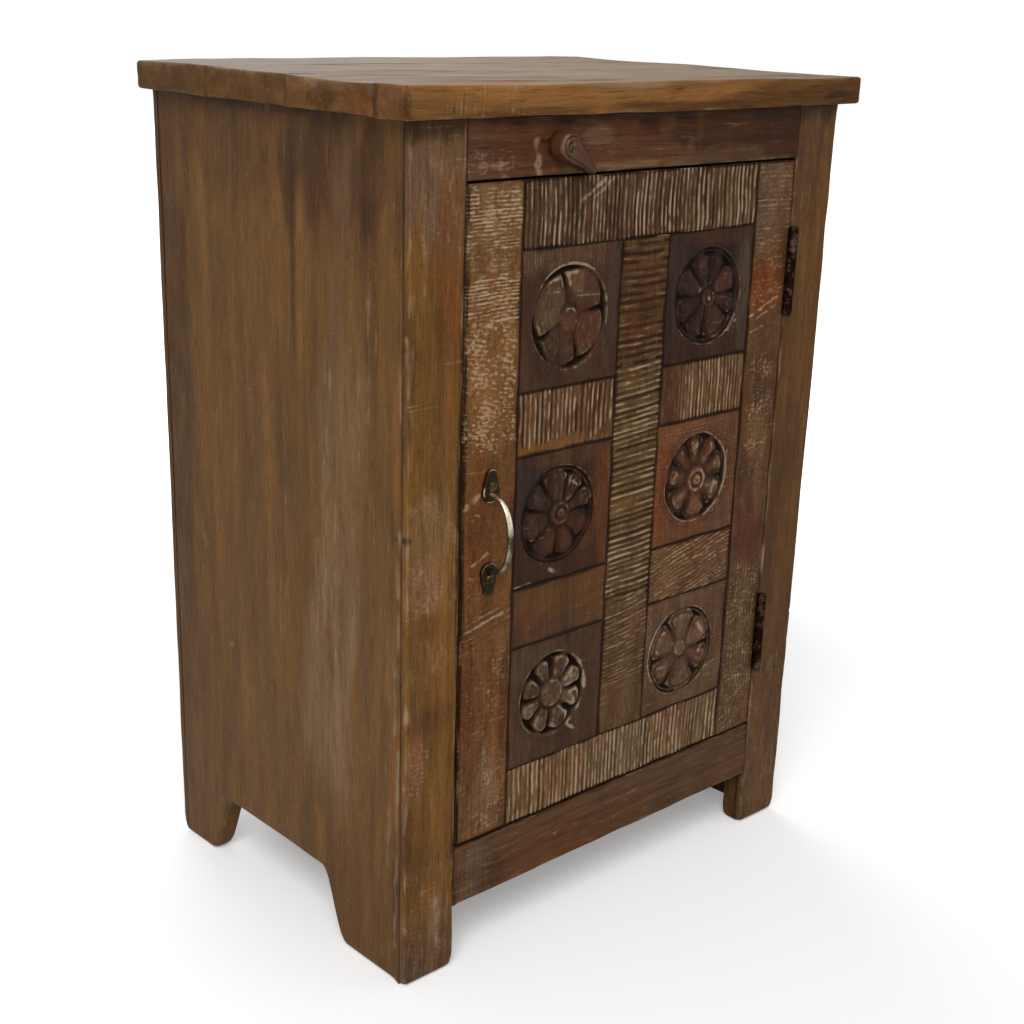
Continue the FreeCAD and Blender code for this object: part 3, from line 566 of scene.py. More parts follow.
def stainedWood(name, look):
    # Stained wood: streaks, fibres, blots and specks are noises, most of them stretched along the grain, that
    # brighten and darken the piece's own tone. Lime shows by the piece's lime number, which on carved tiles
    # also holds painted highlights, broken up by noise and scratches. Pores are dark, and so is what its
    # grime and depth numbers say; the grime number also holds painted shade beside seams and in carved
    # hollows.
    made, tree, shader = newMaterial(name)
    place = add(tree, "ShaderNodeTexCoord").outputs["Object"]
    tone = add(tree, "ShaderNodeAttribute", attribute_name="tone").outputs["Color"]
    lime, grime, depth, own = readFinish(tree)
    seed = times(tree, own, 37.0)
    wander = add(tree, "ShaderNodeTexNoise", {"Vector": place, "Scale": 7.0, "Detail": 2.0}).outputs["Color"]
    feeds = {0: wander, 1: (look["wander"],) * 3, 2: place}
    place = add(tree, "ShaderNodeVectorMath", feeds, operation="MULTIPLY_ADD").outputs[0]
    stretch, limeStretch, blotStretch = [1.0, 1.0, 1.0], [1.0, 1.0, 1.0], [1.0, 1.0, 1.0]
    stretch["xyz".index(look["grain"])] = look["stretch"]
    limeStretch["xyz".index(look.get("limeRun", look["grain"]))] = look["limeStretch"]
    blotStretch["xyz".index(look["grain"])] = 0.22
    grain = scaled(tree, place, stretch)
    streak = noise(tree, grain, look["streakScale"], 5.0, 0.62, seed)
    fibre = noise(tree, grain, look["fibreScale"], 3.0, 0.6, seed)
    pore = band(tree, noise(tree, grain, look["fibreScale"] * 1.4, 1.0, 0.5, seed), 0.58, 0.70)
    cloud = noise(tree, place, look["cloudScale"], 3.0, 0.5, seed)
    fleck = noise(tree, scaled(tree, place, limeStretch), look["limeScale"], 4.0, 0.65, seed)
    blot = noise(tree, scaled(tree, place, blotStretch), 75.0, 4.0, 0.7, seed)
    speck = noise(tree, place, 950.0, 2.0, 0.6, seed)
    light = band(tree, streak, 0.3, 0.7, 1 - look["streak"], 1 + look["streak"])
    others = (("fibre", fibre, 0.25, 0.75), ("blots", blot, 0.32, 0.68), ("speck", speck, 0.3, 0.7))
    for key, field, low, high in others:
        light = times(tree, light, band(tree, field, low, high, 1 - look[key], 1 + look[key]))
    colour = add(tree, "ShaderNodeVectorMath", {0: tone, "Scale": light}, operation="SCALE").outputs[0]
    colour = blend(tree, times(tree, band(tree, cloud, 0.42, 0.68), look["warmth"]), colour, look["warm"])
    broad = noise(tree, grain, look["streakScale"] * 0.6, 5.0, 0.62, seed)
    colour = blend(tree, times(tree, band(tree, broad, 0.52, 0.70), look["greyness"]), colour, look["grey"])
    colour = blend(tree, times(tree, pore, look["pores"]), colour, look["dark"])
    slant = noise(tree, scaled(tree, place, (0.05, 1, 1), (0.5, 0.6, 0.4)), 420.0, 2.0, 0.5, seed)
    scratch = times(tree, band(tree, slant, 0.62, 0.74), band(tree, cloud, 0.42, 0.6))
    limed = plus(tree, lime, swing(tree, fleck, look["limeBreak"]))
    limed = band(tree, plus(tree, limed, times(tree, scratch, look["scratch"])), 0.12, 0.95)
    colour = blend(tree, times(tree, limed, look["limeCover"]), colour, look["lime"])
    colour = blend(tree, band(tree, depth, 0.06, 0.9, 0.0, look["sunkDark"]), colour, look["dark"])
    # Grime darkens the wood, together with the painted shade that the grime number holds beside seams and in
    # carved hollows
    dirtAndShade = band(tree, plus(tree, grime, swing(tree, cloud, 0.6)), 0.2, 1.05, 0.0, 0.9)
    colour = blend(tree, dirtAndShade, colour, look["dark"])
    tree.links.new(colour, shader.inputs["Base Color"])
    dull = band(tree, streak, 0.3, 0.7, look["rough"] - 0.07, look["rough"] + 0.07)
    dull = plus(tree, dull, times(tree, limed, 0.12))
    dull = maths(tree, "ADD", dull, times(tree, dirtAndShade, 0.2), True)
    tree.links.new(dull, shader.inputs["Roughness"])
    shader.inputs["Specular IOR Level"].default_value = look["gloss"]
    height = plus(tree, times(tree, fibre, 0.7), times(tree, streak, 0.6))
    height = maths(tree, "SUBTRACT", height, times(tree, pore, 0.5))
    addBump(tree, shader, plus(tree, height, times(tree, limed, 0.3)), look["bump"], 0.0006)
    return made


woodBase = {
    "grain": "z", "stretch": 0.035, "wander": 0.01, "streakScale": 150.0, "fibreScale": 800.0,
    "cloudScale": 16.0, "limeScale": 420.0, "limeStretch": 0.15, "limeBreak": 1.5, "streak": 0.26,
    "fibre": 0.2, "warm": (100, 66, 30), "warmth": 0.3, "grey": (108, 85, 60), "greyness": 0.3,
    "dark": (28, 15, 7), "pores": 0.42, "lime": (156, 132, 104), "limeCover": 0.6, "sunkDark": 0.8,
    "rough": 0.5, "gloss": 0.07, "bump": 0.6, "speck": 0.16, "scratch": 0.4, "blots": 0.08,
}
woods = {
    "sideWood": {
        "warm": (99, 69, 38), "warmth": 0.25, "grey": (102, 78, 51), "greyness": 0.25, "streakScale": 110.0,
        "stretch": 0.05, "streak": 0.19, "fibre": 0.13, "rough": 0.44, "gloss": 0.08, "bump": 0.5,
        "speck": 0.14, "pores": 0.3, "blots": 0.14,
    },
    "postWood": {
        "warm": (106, 74, 28), "warmth": 0.22, "streak": 0.2, "fibre": 0.15, "grey": (104, 80, 52),
        "greyness": 0.12, "stretch": 0.05, "rough": 0.44, "gloss": 0.09, "blots": 0.16,
        "lime": (166, 136, 108),
    },
    "railWood": {"grain": "x", "warm": (86, 52, 26), "greyness": 0.2, "rough": 0.46},
    "topWood": {
        "grain": "x", "speck": 0.08, "scratch": 0.15, "streakScale": 90.0, "rough": 0.52, "gloss": 0.045,
        "greyness": 0.3, "bump": 0.25, "fibre": 0.12,
    },
    "sawnAcross": {
        "stretch": 0.2, "limeStretch": 0.14, "limeScale": 560.0, "limeBreak": 2.0, "limeCover": 0.88,
        "lime": (164, 142, 116), "blots": 0.14, "dark": (28, 16, 9), "bump": 0.7, "rough": 0.6,
        "gloss": 0.05,
    },
    "sawnAlong": {
        "stretch": 0.2, "limeRun": "x", "limeStretch": 0.12, "limeScale": 560.0, "limeBreak": 2.0,
        "limeCover": 0.86, "lime": (160, 138, 108), "blots": 0.14, "dark": (28, 16, 9), "bump": 0.7,
        "rough": 0.6, "gloss": 0.05,
    },
    "limedStile": {
        "stretch": 0.3, "limeRun": "x", "limeStretch": 0.3, "limeScale": 560.0, "limeBreak": 1.6,
        "limeCover": 0.85, "lime": (172, 146, 114), "bump": 0.6, "rough": 0.52, "gloss": 0.05,
        "blots": 0.14,
    },
    "carvedWood": {
        "stretch": 0.12, "limeScale": 500.0, "limeStretch": 0.4, "limeBreak": 0.9, "limeCover": 0.85,
        "lime": (152, 130, 108), "dark": (20, 10, 6), "speck": 0.2, "scratch": 0.45, "sunkDark": 0.9,
        "bump": 0.7, "rough": 0.45, "gloss": 0.06, "warm": (74, 40, 25), "greyness": 0.15, "streak": 0.26,
    },
    "innerAcross": {"grain": "x", "limeCover": 0.3, "rough": 0.62, "greyness": 0.15},
    "innerDeep": {"grain": "y", "limeCover": 0.3, "rough": 0.62, "greyness": 0.15},
    "innerUp": {"limeCover": 0.3, "rough": 0.62, "greyness": 0.15},
    "sheetWood": {
        "streakScale": 60.0, "limeCover": 0.25, "rough": 0.66, "greyness": 0.1, "pores": 0.2,
        "streak": 0.16, "dark": (70, 48, 28),
    },
    "turnedWood": {
        "stretch": 0.15, "streakScale": 200.0, "lime": (132, 104, 82), "limeBreak": 0.5, "limeCover": 0.75,
        "rough": 0.36, "gloss": 0.2, "warmth": 0.2, "greyness": 0.1, "dark": (20, 11, 7),
    },
}
finishes = {name: stainedWood(name, {**woodBase, **changes}) for name, changes in woods.items()}
print("Wood finishes:", len(finishes))


def tarnishedMetal(name, look):
    # Metal under tarnish: two noises decide where the bright metal shows, pitting and fine scratches roughen
    # it. With a rubbed number, the tarnish lies where the piece's own lime number is low or its grime high.
    # The edge colour tints what the metal mirrors at a glancing angle.
    made, tree, shader = newMaterial(name)
    place = add(tree, "ShaderNodeTexCoord").outputs["Object"]
    pits = noise(tree, place, look["pitScale"], 3.0, 0.6)
    cover = plus(tree, noise(tree, place, look["patchScale"], 4.0, 0.6), times(tree, pits, 0.25))
    if "rubbed" in look:
        rubbed, grime, *_ = readFinish(tree)
        cover = plus(tree, cover, times(tree, maths(tree, "SUBTRACT", 1.0, rubbed), look["rubbed"]))
        cover = plus(tree, cover, times(tree, grime, 0.5))
    cover = band(tree, cover, look["from"], look["to"])
    colour = blend(tree, cover, colour4(look["bright"]), look["tarnish"])
    colour = blend(tree, times(tree, band(tree, pits, 0.55, 0.7), look["rust"]), colour, look["rustColour"])
    tree.links.new(colour, shader.inputs["Base Color"])
    tree.links.new(band(tree, cover, 0.0, 1.0, look["smooth"], look["dull"]), shader.inputs["Roughness"])
    shader.inputs["Metallic"].default_value = look["metallic"]
    shader.inputs["Specular Tint"].default_value = colour4(look.get("edge", (255, 255, 255)))
    scratch = noise(tree, scaled(tree, place, (1, 1, 0.1)), 2500.0, 2.0, 0.6)
    height = plus(tree, times(tree, pits, 0.8), times(tree, scratch, 0.3))
    addBump(tree, shader, height, 0.4, 0.0003)
    return made


metals = {
    "bowBrass": {
        "bright": (208, 198, 172), "tarnish": (48, 38, 26), "rust": 0.3, "rustColour": (40, 30, 18),
        "patchScale": 90.0, "pitScale": 900.0, "rubbed": 0.9, "from": 0.7, "to": 1.2, "smooth": 0.16,
        "dull": 0.5, "metallic": 1.0,
    },
    "darkBrass": {
        "bright": (110, 92, 58), "tarnish": (34, 27, 18), "rust": 0.6, "rustColour": (18, 13, 9),
        "patchScale": 260.0, "pitScale": 1100.0, "from": 0.42, "to": 0.72, "smooth": 0.3, "dull": 0.6,
        "metallic": 0.9,
    },
    "agedIron": {
        "bright": (88, 68, 55), "tarnish": (24, 12, 8), "rust": 0.7, "rustColour": (50, 24, 14),
        "patchScale": 150.0, "pitScale": 420.0, "from": 0.44, "to": 0.68, "smooth": 0.4, "dull": 0.6,
        "metallic": 0.85, "edge": (150, 112, 88),
    },
    "screwSteel": {
        "bright": (150, 144, 134), "tarnish": (88, 80, 70), "rust": 0.4, "rustColour": (80, 56, 38),
        "patchScale": 300.0, "pitScale": 1500.0, "from": 0.5, "to": 0.9, "smooth": 0.28, "dull": 0.5,
        "metallic": 0.95,
    },
}
finishes.update({name: tarnishedMetal(name, look) for name, look in metals.items()})
print("Metal finishes:", len(metals))


# Top

top = {
    "seed": 11, "seedStep": 5,
    "edge": 2.8, "steps": (3, 3, 4), "wave": 0.6, "chips": 1.0, "bands": 0.14, "seamGrime": 0.5,
    "rub": 0.35, "rubWidth": 3, "lime": 0.1, "grime": 0.05, "tone": (98, 70, 42), "grain": 0,
    "boards": {
        "top_edge_strip": {
            "joints": (rearSide,), "tone": (124, 88, 52), "steps": (1.3, 3, 1.2), "fade": 6,
            "fullDepth": 1.5,
            "zones": (
                zone((-182, -150, 581, 599), "z", 3.2, 0.45, lime=0.6, dark=0.7),
                zone((-60, 212, 581, 599), "x", 5.0, 0.3, lime=0.1, dark=0.5),
                zone((-140, -118, 581, 599), "z", 4.2, 0.25, lime=0.35, dark=0.3)),
            "stains": (
                (-204, -142, 590, (26, 12, 30), (110, 82, 48), 0.7),
                # The next mark darkens the right end of the front edge: partly the wood's own stain, partly
                # painted shade where the light falls off to the right
                (160, -142, 590, (130, 20, 30), (70, 45, 22), 0.85),
                (-212, -126, 590, (7, 15, 30), (96, 66, 44), 0.9),
                (-212, -142, 590, (2.4, 2.4, 30), (60, 40, 24), 0.6),
                (-212, -113, 590, (6, 2.5, 30), (50, 30, 18), 0.7),
                (-110, -142, 582, (40, 8, 5), (60, 38, 20), 0.6),
                (20, -142, 582, (60, 8, 6), (62, 38, 18), 0.7),
                (-30, -142, 596, (30, 6, 6), (122, 90, 58), 0.6),
                (120, -142, 597, (50, 6, 5), (108, 78, 46), 0.6),
                (190, -142, 584, (20, 8, 6), (52, 32, 16), 0.6),
                # The next mark, pale grey on the upper face, is painted sheen: the reflection of the waxed
                # top seen at a glancing angle
                (40, -128, 603, (200, 14, 7), (140, 122, 102), 0.7)),
        },
        "top_plank_front": {
            "joints": (frontSide, rearSide),
            "stains": (
                (-212, -98, 590, (6, 16, 30), (104, 66, 36), 0.8),
                (-212, -113, 590, (6, 2.5, 30), (50, 30, 18), 0.7),
                (-212, -60, 588, (6, 24, 8), (74, 50, 30), 0.7),
                (-212, -40, 596, (6, 12, 5), (116, 90, 64), 0.6),
                # The next two marks, pale grey on the upper face, are painted sheen: the reflection of the
                # waxed top at a glancing angle, weaker at the left end
                (70, -68, 603, (210, 80, 9), (140, 126, 111), 0.85),
                (-190, -60, 603, (50, 60, 9), (112, 96, 80), 0.5)),
        },
        "top_plank_middle": {
            "joints": (frontSide, rearSide), "tone": (88, 63, 38),
            "stains": (
                (-212, 30, 590, (6, 30, 10), (84, 56, 30), 0.6),
                # The next two marks, pale grey on the upper face, are painted sheen: the reflection of the
                # waxed top at a glancing angle, weaker at the left end
                (80, 20, 603, (220, 90, 9), (142, 128, 113), 0.85),
                (-170, 20, 603, (70, 70, 9), (110, 94, 79), 0.6)),
        },
        "top_plank_rear": {
            "joints": (frontSide,), "tone": (84, 61, 38),
            "stains": (
                (-212, 140, 590, (6, 30, 10), (92, 64, 36), 0.6),
                # The next two marks, pale grey on the upper face, are painted sheen: the reflection of the
                # waxed top at a glancing angle, weaker at the left end
                (60, 110, 603, (220, 90, 9), (140, 126, 111), 0.85),
                (-160, 110, 603, (80, 70, 9), (104, 88, 74), 0.65)),
        },
    },
    "sag": 1.6, "corner": 5,
}


def topBend(p, q):
    # The upper side sinks by a slow wave of x and y, most along the outer edges, and not at all underneath.
    # The near left corner is worn round: near holds the distances from its two sides in parts of its reach,
    # and a point draws in by 0.29 * reach * (1 - the larger of near) * (1 - near of the other side) ^ 1.5.
    low, high = corners("top_edge_strip")
    rise = ease(q[:, 2], low[2], high[2])
    rim = 1 - ease(np.minimum(q[:, 0] - low[0], high[0] - q[:, 0]), 0, 0.05)
    rim = np.maximum(rim, 1 - ease(q[:, 1] - low[1], 0, 0.05))
    near = np.stack((q[:, 0] - low[0], q[:, 1] - low[1]), 1) / (top["corner"] * mm)
    inside = np.clip(1 - near.max(axis=1), 0, 1)[:, None]
    p[:, :2] += 0.29 * top["corner"] * mm * inside * np.clip(1 - near[:, ::-1], 0, 1) ** 1.5
    p[:, 2] -= top["sag"] * mm * (0.25 + 0.75 * rim) * (0.5 + 0.5 * ripple(q[:, :2], 0.16, 77)) * rise
    return p


for node, low, high, look, seed in boardsOf(top):
    face = sawnFace if "zones" in look else None
    makePiece(node, [wornBlock(low, high, look, seed, face=face, bend=topBend)], finishes["topWood"])
print("Top boards done")


# Side panels

side = {
    "seed": 41, "seedStep": 3,
    "heel": 8.0, "footWear": 3.0, "edge": 1.6, "steps": (5, 3.2, 4.6), "wave": 0.5, "rub": 0.35,
    "lime": 0.1, "grime": 0.1, "joints": (frontSide, upperSide), "tone": (101, 73, 40), "bands": 0.19,
    "scuffs": scuffsOnLeft(
        (-48, 420, -42, 230, 5, 0.3), (-56, 330, -54, 180, 4, 0.3), (-34, 300, -30, 160, 3.5, 0.28),
        (-92, 480, -90, 380, 2.5, 0.35), (-100, 500, -98, 440, 2, 0.3), (-82, 440, -80, 330, 2.5, 0.28),
        (107, 264, 105, 260, 4, 0.6), (76, 188, 74, 184, 3, 0.5), (0, 400, 2, 250, 2.5, 0.25),
        (60, 420, 62, 300, 3, 0.2), (-123, 330, -122, 250, 2, 0.6), (-120, 318, -121, 288, 2.5, 0.7),
        (-118, 235, -119, 190, 2, 0.6), (-123, 180, -122, 120, 2.5, 0.6), (-114, 150, -113, 90, 2, 0.4),
        (-121, 100, -120, 30, 2.5, 0.5), (-122, 440, -123, 400, 2, 0.4), (-112, 200, -110, 60, 3, 0.25),
        (118, 100, 117, 92, 4, 0.5)),
    "stains": (
        # The next two marks darken the upper front of the side panel under the top: painted shade of the
        # overhang
        (-200, 60, 566, (60, 110, 46), (76, 52, 30), 0.65),
        (-200, -64, 550, (60, 64, 38), (60, 39, 20), 0.85)) + onLeft(
        # The first mark on the next line, a dark band just under the top, is painted shadow of the top's
        # overhang
        (30, 578, 100, 4, (48, 30, 16), 0.7), (-12, 500, 2.5, 75, (52, 34, 20), 0.8),
        (-121, 326, 4.5, 3.2, (40, 22, 12), 0.9), (-118, 175, 4, 50, (116, 76, 40), 0.7),
        (-121, 60, 4, 40, (66, 46, 30), 0.6), (150, 380, 34, 400, (74, 52, 33), 0.8),
        (-119, 380, 3.5, 60, (122, 84, 46), 0.6), (-113, 230, 6, 40, (122, 88, 54), 0.5),
        (-60, 330, 22, 190, (118, 96, 74), 0.5), (-40, 170, 30, 90, (124, 102, 80), 0.5),
        (-80, 520, 60, 40, (78, 52, 32), 0.4), (60, 330, 50, 160, (104, 75, 44), 0.4),
        (110, 120, 40, 80, (88, 62, 34), 0.5), (-60, 40, 60, 70, (92, 64, 34), 0.5)) + (
        # The first mark on the next line darkens the upper right panel under the top: painted shade of the
        # overhang
        (200, 0, 560, (60, 200, 50), (80, 56, 34), 0.6), (200, 20, 260, (40, 60, 200), (112, 86, 60), 0.5)),
}


def footLine(node, outer):
    # Lower outline of a side panel, z over y, read from the frame's own mesh along its outer face
    spots = nodePoints(node)
    spots = spots[(np.abs(spots[:, 0] - outer) < 1e-5) & (spots[:, 2] < 0.2)]
    spots = spots[np.lexsort((spots[:, 2], spots[:, 1]))]
    y, first = np.unique(np.round(spots[:, 1], 6), return_index=True)
    return y, spots[first, 2]


for number, node in enumerate(("side_panel_left", "side_panel_right")):
    low, high = corners(node)
    outside = (low, high)[number][0]
    lineY, lineZ = footLine(node, outside)
    # The rear foot's heel is a quarter circle: the softened foot line rises by heel - sqrt(heel^2 - past^2)
    heel = side["heel"] * mm
    evenY = np.linspace(low[1], high[1], 560)
    evenZ = soften(np.interp(evenY, lineY, lineZ)[:, None].repeat(3, 1), 9)[:, 1]
    evenZ += heel - np.sqrt(heel ** 2 - np.clip(heel - (high[1] - evenY), 0, None) ** 2)
    # The grid takes a column of points at every 3.6 mm of the foot line's own length
    run = np.concatenate(((0,), np.cumsum(np.hypot(np.diff(lineY), np.diff(lineZ)))))
    close = np.interp(np.arange(0, run[-1], 0.0036), run, lineY)

    def panelBend(p, q):
        # The lower edge follows the feet and the arch: each point rises by the foot line, and less and less
        # up to 4 times its height
        foot = np.interp(p[:, 1], evenY, evenZ)
        p[:, 2] += foot * (1 - ease(p[:, 2], 0, 4 * foot + 1e-6))
        return p

    backLow, backHigh = corners("back_panel")
    rebate = (0, outside, (backLow, backHigh)[number][0], backLow[1], backLow[2], backHigh[2] + 1)
    seed = side["seed"] + number * side["seedStep"]
    part = wornBlock(low, high, side, seed, bend=panelBend, rebate=rebate, closeY=close)
    makePiece(node, [part], finishes["sideWood"])
print("Side panels done")


# Front frame

post = {
    "seed": 61, "seedStep": 4,
    "footWear": 4.0, "edge": 1.6, "steps": (1.3, 4, 1.5), "wave": 0.4, "chips": 1.2, "rub": 0.45,
    "lime": 0.08, "grime": 0.08, "joints": (upperSide,), "tone": (105, 74, 34), "bands": 0.16, "fade": 12,
    "boards": {
        "front_post_left": {
            "scuffs": (
                ((-196, -131, 480), (-197, -131, 400), 2, 0.3),
                ((-200, -128, 452), (-200, -128, 446), 5, 0.8),
                ((-190, -131, 545), (-188, -131, 470), 3, 0.2),
                ((-173, -131, 60), (-170, -131, 26), 3.5, 0.35),
                ((-199, -129, 215), (-199, -129, 190), 2.5, 0.6),
                ((-199, -129, 160), (-199, -129, 120), 2.5, 0.6),
                ((-162, -131, 330), (-160, -131, 280), 2.5, 0.4),
                ((-185, -131, 350), (-183, -131, 349), 3, 0.5)),
            "stains": onFront(
                # The second mark on the next line, dark just under the top, is painted shadow of the top's
                # front overhang
                (-180, 548, 60, 42, (98, 76, 60), 0.9), (-180, 582, 60, 14, (54, 32, 16), 0.9),
                (-184, 328, 18, 26, (122, 96, 66), 0.6), (-165, 470, 16, 70, (112, 66, 30), 0.5),
                (-184, 290, 16, 20, (128, 92, 66), 0.65), (-172, 238, 16, 28, (122, 82, 38), 0.6),
                (-180, 198, 24, 12, (88, 56, 32), 0.5), (-192, 166, 12, 24, (128, 88, 58), 0.65),
                (-168, 120, 18, 40, (116, 80, 42), 0.4)) + (
                (-200, -131, 326, (4, 8, 3), (38, 20, 10), 0.9),) + onFront(
                (-180, 0, 60, 50, (84, 64, 50), 0.8), (-172, 42, 4, 24, (116, 98, 80), 0.6),
                (-190, 90, 12, 26, (82, 56, 34), 0.6), (-178, 262, 22, 10, (108, 66, 34), 0.5),
                (-200, 430, 5, 60, (70, 46, 24), 0.7), (-200, 110, 5, 30, (74, 48, 28), 0.6),
                # A dark strip along the post's inner edge: painted shade that widens the dark gap beside the
                # door
                (-157, 318, 2.6, 240, (30, 18, 11), 0.9)),
            "zones": (
                zone((-199, -170, 274, 308), "z", 5, 0.25, mottle=0.5, dark=0.3),
                zone((-194, -162, 308, 354), "z", 5, 0.15, mottle=0.28, dark=0.15),
                zone((-196, -162, 216, 258), "z", 5, 0.15, mottle=0.22, dark=0.2),
                zone((-199, -181, 144, 186), "z", 4, 0.25, mottle=0.45, dark=0.3),
                zone((-190, -158, 500, 560), "z", 6, 0.15, lime=0.08, mottle=0.2, dark=0.15),
                zone((-199, -158, 4, 90), "z", 5, 0.2, lime=0.15, mottle=0.25, dark=0.4)),
        },
        "front_post_right": {
            # The right post's darker tone is partly the wood's own, partly painted shade where the light
            # falls off to the right
            "tone": (84, 57, 29),
            "stains": onFront(
                (180, 575, 60, 40, (74, 50, 33), 0.6), (190, 430, 18, 120, (98, 66, 30), 0.6),
                # The first mark on the next line, dark just under the top, is painted shadow of the top's
                # front overhang
                (180, 582, 60, 12, (50, 30, 16), 0.8), (180, 20, 60, 70, (82, 61, 42), 0.5)),
            "zones": (
                zone((158, 199, 470, 570), "z", 5, 0.15, mottle=0.1, dark=0.15),
                zone((158, 199, 10, 150), "z", 5, 0.2, lime=0.1, mottle=0.2, dark=0.2)),
        },
    },
}
for node, low, high, look, seed in boardsOf(post):
    # Behind each post a rebate as wide as the post's overhang takes the side panel
    panelLow, panelHigh = corners(node.replace("front_post", "side_panel"))
    wall, keep = (high[0], panelHigh[0]) if node == "front_post_left" else (low[0], panelLow[0])
    rebate = (0, wall, keep, panelLow[1], low[2] - 1, high[2] + 1)
    makePiece(node, [wornBlock(low, high, look, seed, face=sawnFace, rebate=rebate)], finishes["postWood"])


tongueLook = {"edge": 0.6, "steps": (8, 8, 12), "wave": 0.1, "tone": (128, 98, 66)}


def tongues(node, low, high, seed):
    # Tenons of a rail: a block in the box round the node's own points that lie beyond each shoulder
    spots, found = nodePoints(node), []
    for beyond, shoulder in ((spots[:, 0] < low[0] - 1e-5, low[0]), (spots[:, 0] > high[0] + 1e-5, high[0])):
        if beyond.any():
            a, b = spots[beyond].min(axis=0), spots[beyond].max(axis=0)
            a[0], b[0] = min(a[0], shoulder - 0.0005), max(b[0], shoulder + 0.0005)
            found.append(wornBlock(a, b, tongueLook, seed))
    return found


frontRails = {
    "seed": 81, "seedStep": 6, "tongueSeed": 90,
    "edge": 1.2, "steps": (1.2, 5, 1.2), "wave": 0.3, "rub": 0.4, "rubWidth": 2.5, "lime": 0.06,
    "grime": 0.1, "fade": 10, "joints": (leftSide, rightSide), "fullDepth": 1.2,
    "boards": {
        "front_rail_top": {
            "tone": (82, 52, 32), "joints": (leftSide, rightSide, upperSide),
            "stains": onFront(
                # The second mark on the next line, dark just under the top, is painted shadow of the top's
                # front overhang
                (0, 543.5, 170, 1.8, (34, 20, 12), 0.8), (0, 581, 190, 6, (34, 20, 11), 0.85),
                # The first mark on the next line darkens the right half of the rail: partly stain, partly
                # painted shade where the light falls off to the right
                (90, 560, 90, 40, (52, 28, 13), 0.85), (-20, 552, 60, 12, (104, 66, 40), 0.6),
                (-150, 560, 14, 40, (84, 64, 50), 0.5), (60, 548, 70, 8, (92, 72, 50), 0.5),
                (-50, 566, 15, 8, (112, 92, 74), 0.6), (-32, 547.5, 46, 2.4, (122, 94, 72), 0.6)),
            "zones": (
                zone((-154, -118, 546, 560), "x", 5, 0.1, mottle=0.45, dark=0),
                zone((-60, 150, 545, 578), "x", 6, 0.25, lime=0.12, dark=0.4)),
            "strokes": (
                (-101, 565, -98, 553, 4.2, 1.0), (-99, 550, -97, 545, 4.6, 1.1),
                (-132, 551, -127, 553, 3.0, 0.35)),
        },
        "front_rail_bottom": {
            "tone": (84, 58, 38),
            "stains": onFront(
                (-60, 60, 70, 16, (92, 54, 30), 0.5), (90, 80, 60, 18, (78, 58, 42), 0.5),
                (-140, 72, 16, 24, (88, 74, 62), 0.6), (-122, 60, 10, 12, (46, 30, 20), 0.5),
                (0, 93, 170, 1.8, (38, 24, 14), 0.7)),
            "zones": (
                zone((-157, 157, 48, 93), "x", 7, 0.25, lime=0.14, mottle=0.08, dark=0.35),
                zone((-156, -120, 52, 90), "z", 4, 0.25, lime=0.2, mottle=0.1, dark=0.4)),
            "strokes": (
                (-61, 70, -59.5, 69.5, 1.6, 0.7), (2, 62, 3.5, 62.5, 1.5, 0.55), (60, 68, 64, 70, 1.4, 0.4)),
        },
    },
}
for number, (node, low, high, look, seed) in enumerate(boardsOf(frontRails)):
    low[0], high[0] = corners("front_post_left")[1][0], corners("front_post_right")[0][0]
    rail = wornBlock(low, high, look, seed, face=sawnFace)
    ends = tongues(node, low, high, look["tongueSeed"] + number)
    makePiece(node, [rail, *ends], finishes["railWood"])
print("Front frame done")


# Door frame, mullion and spacers

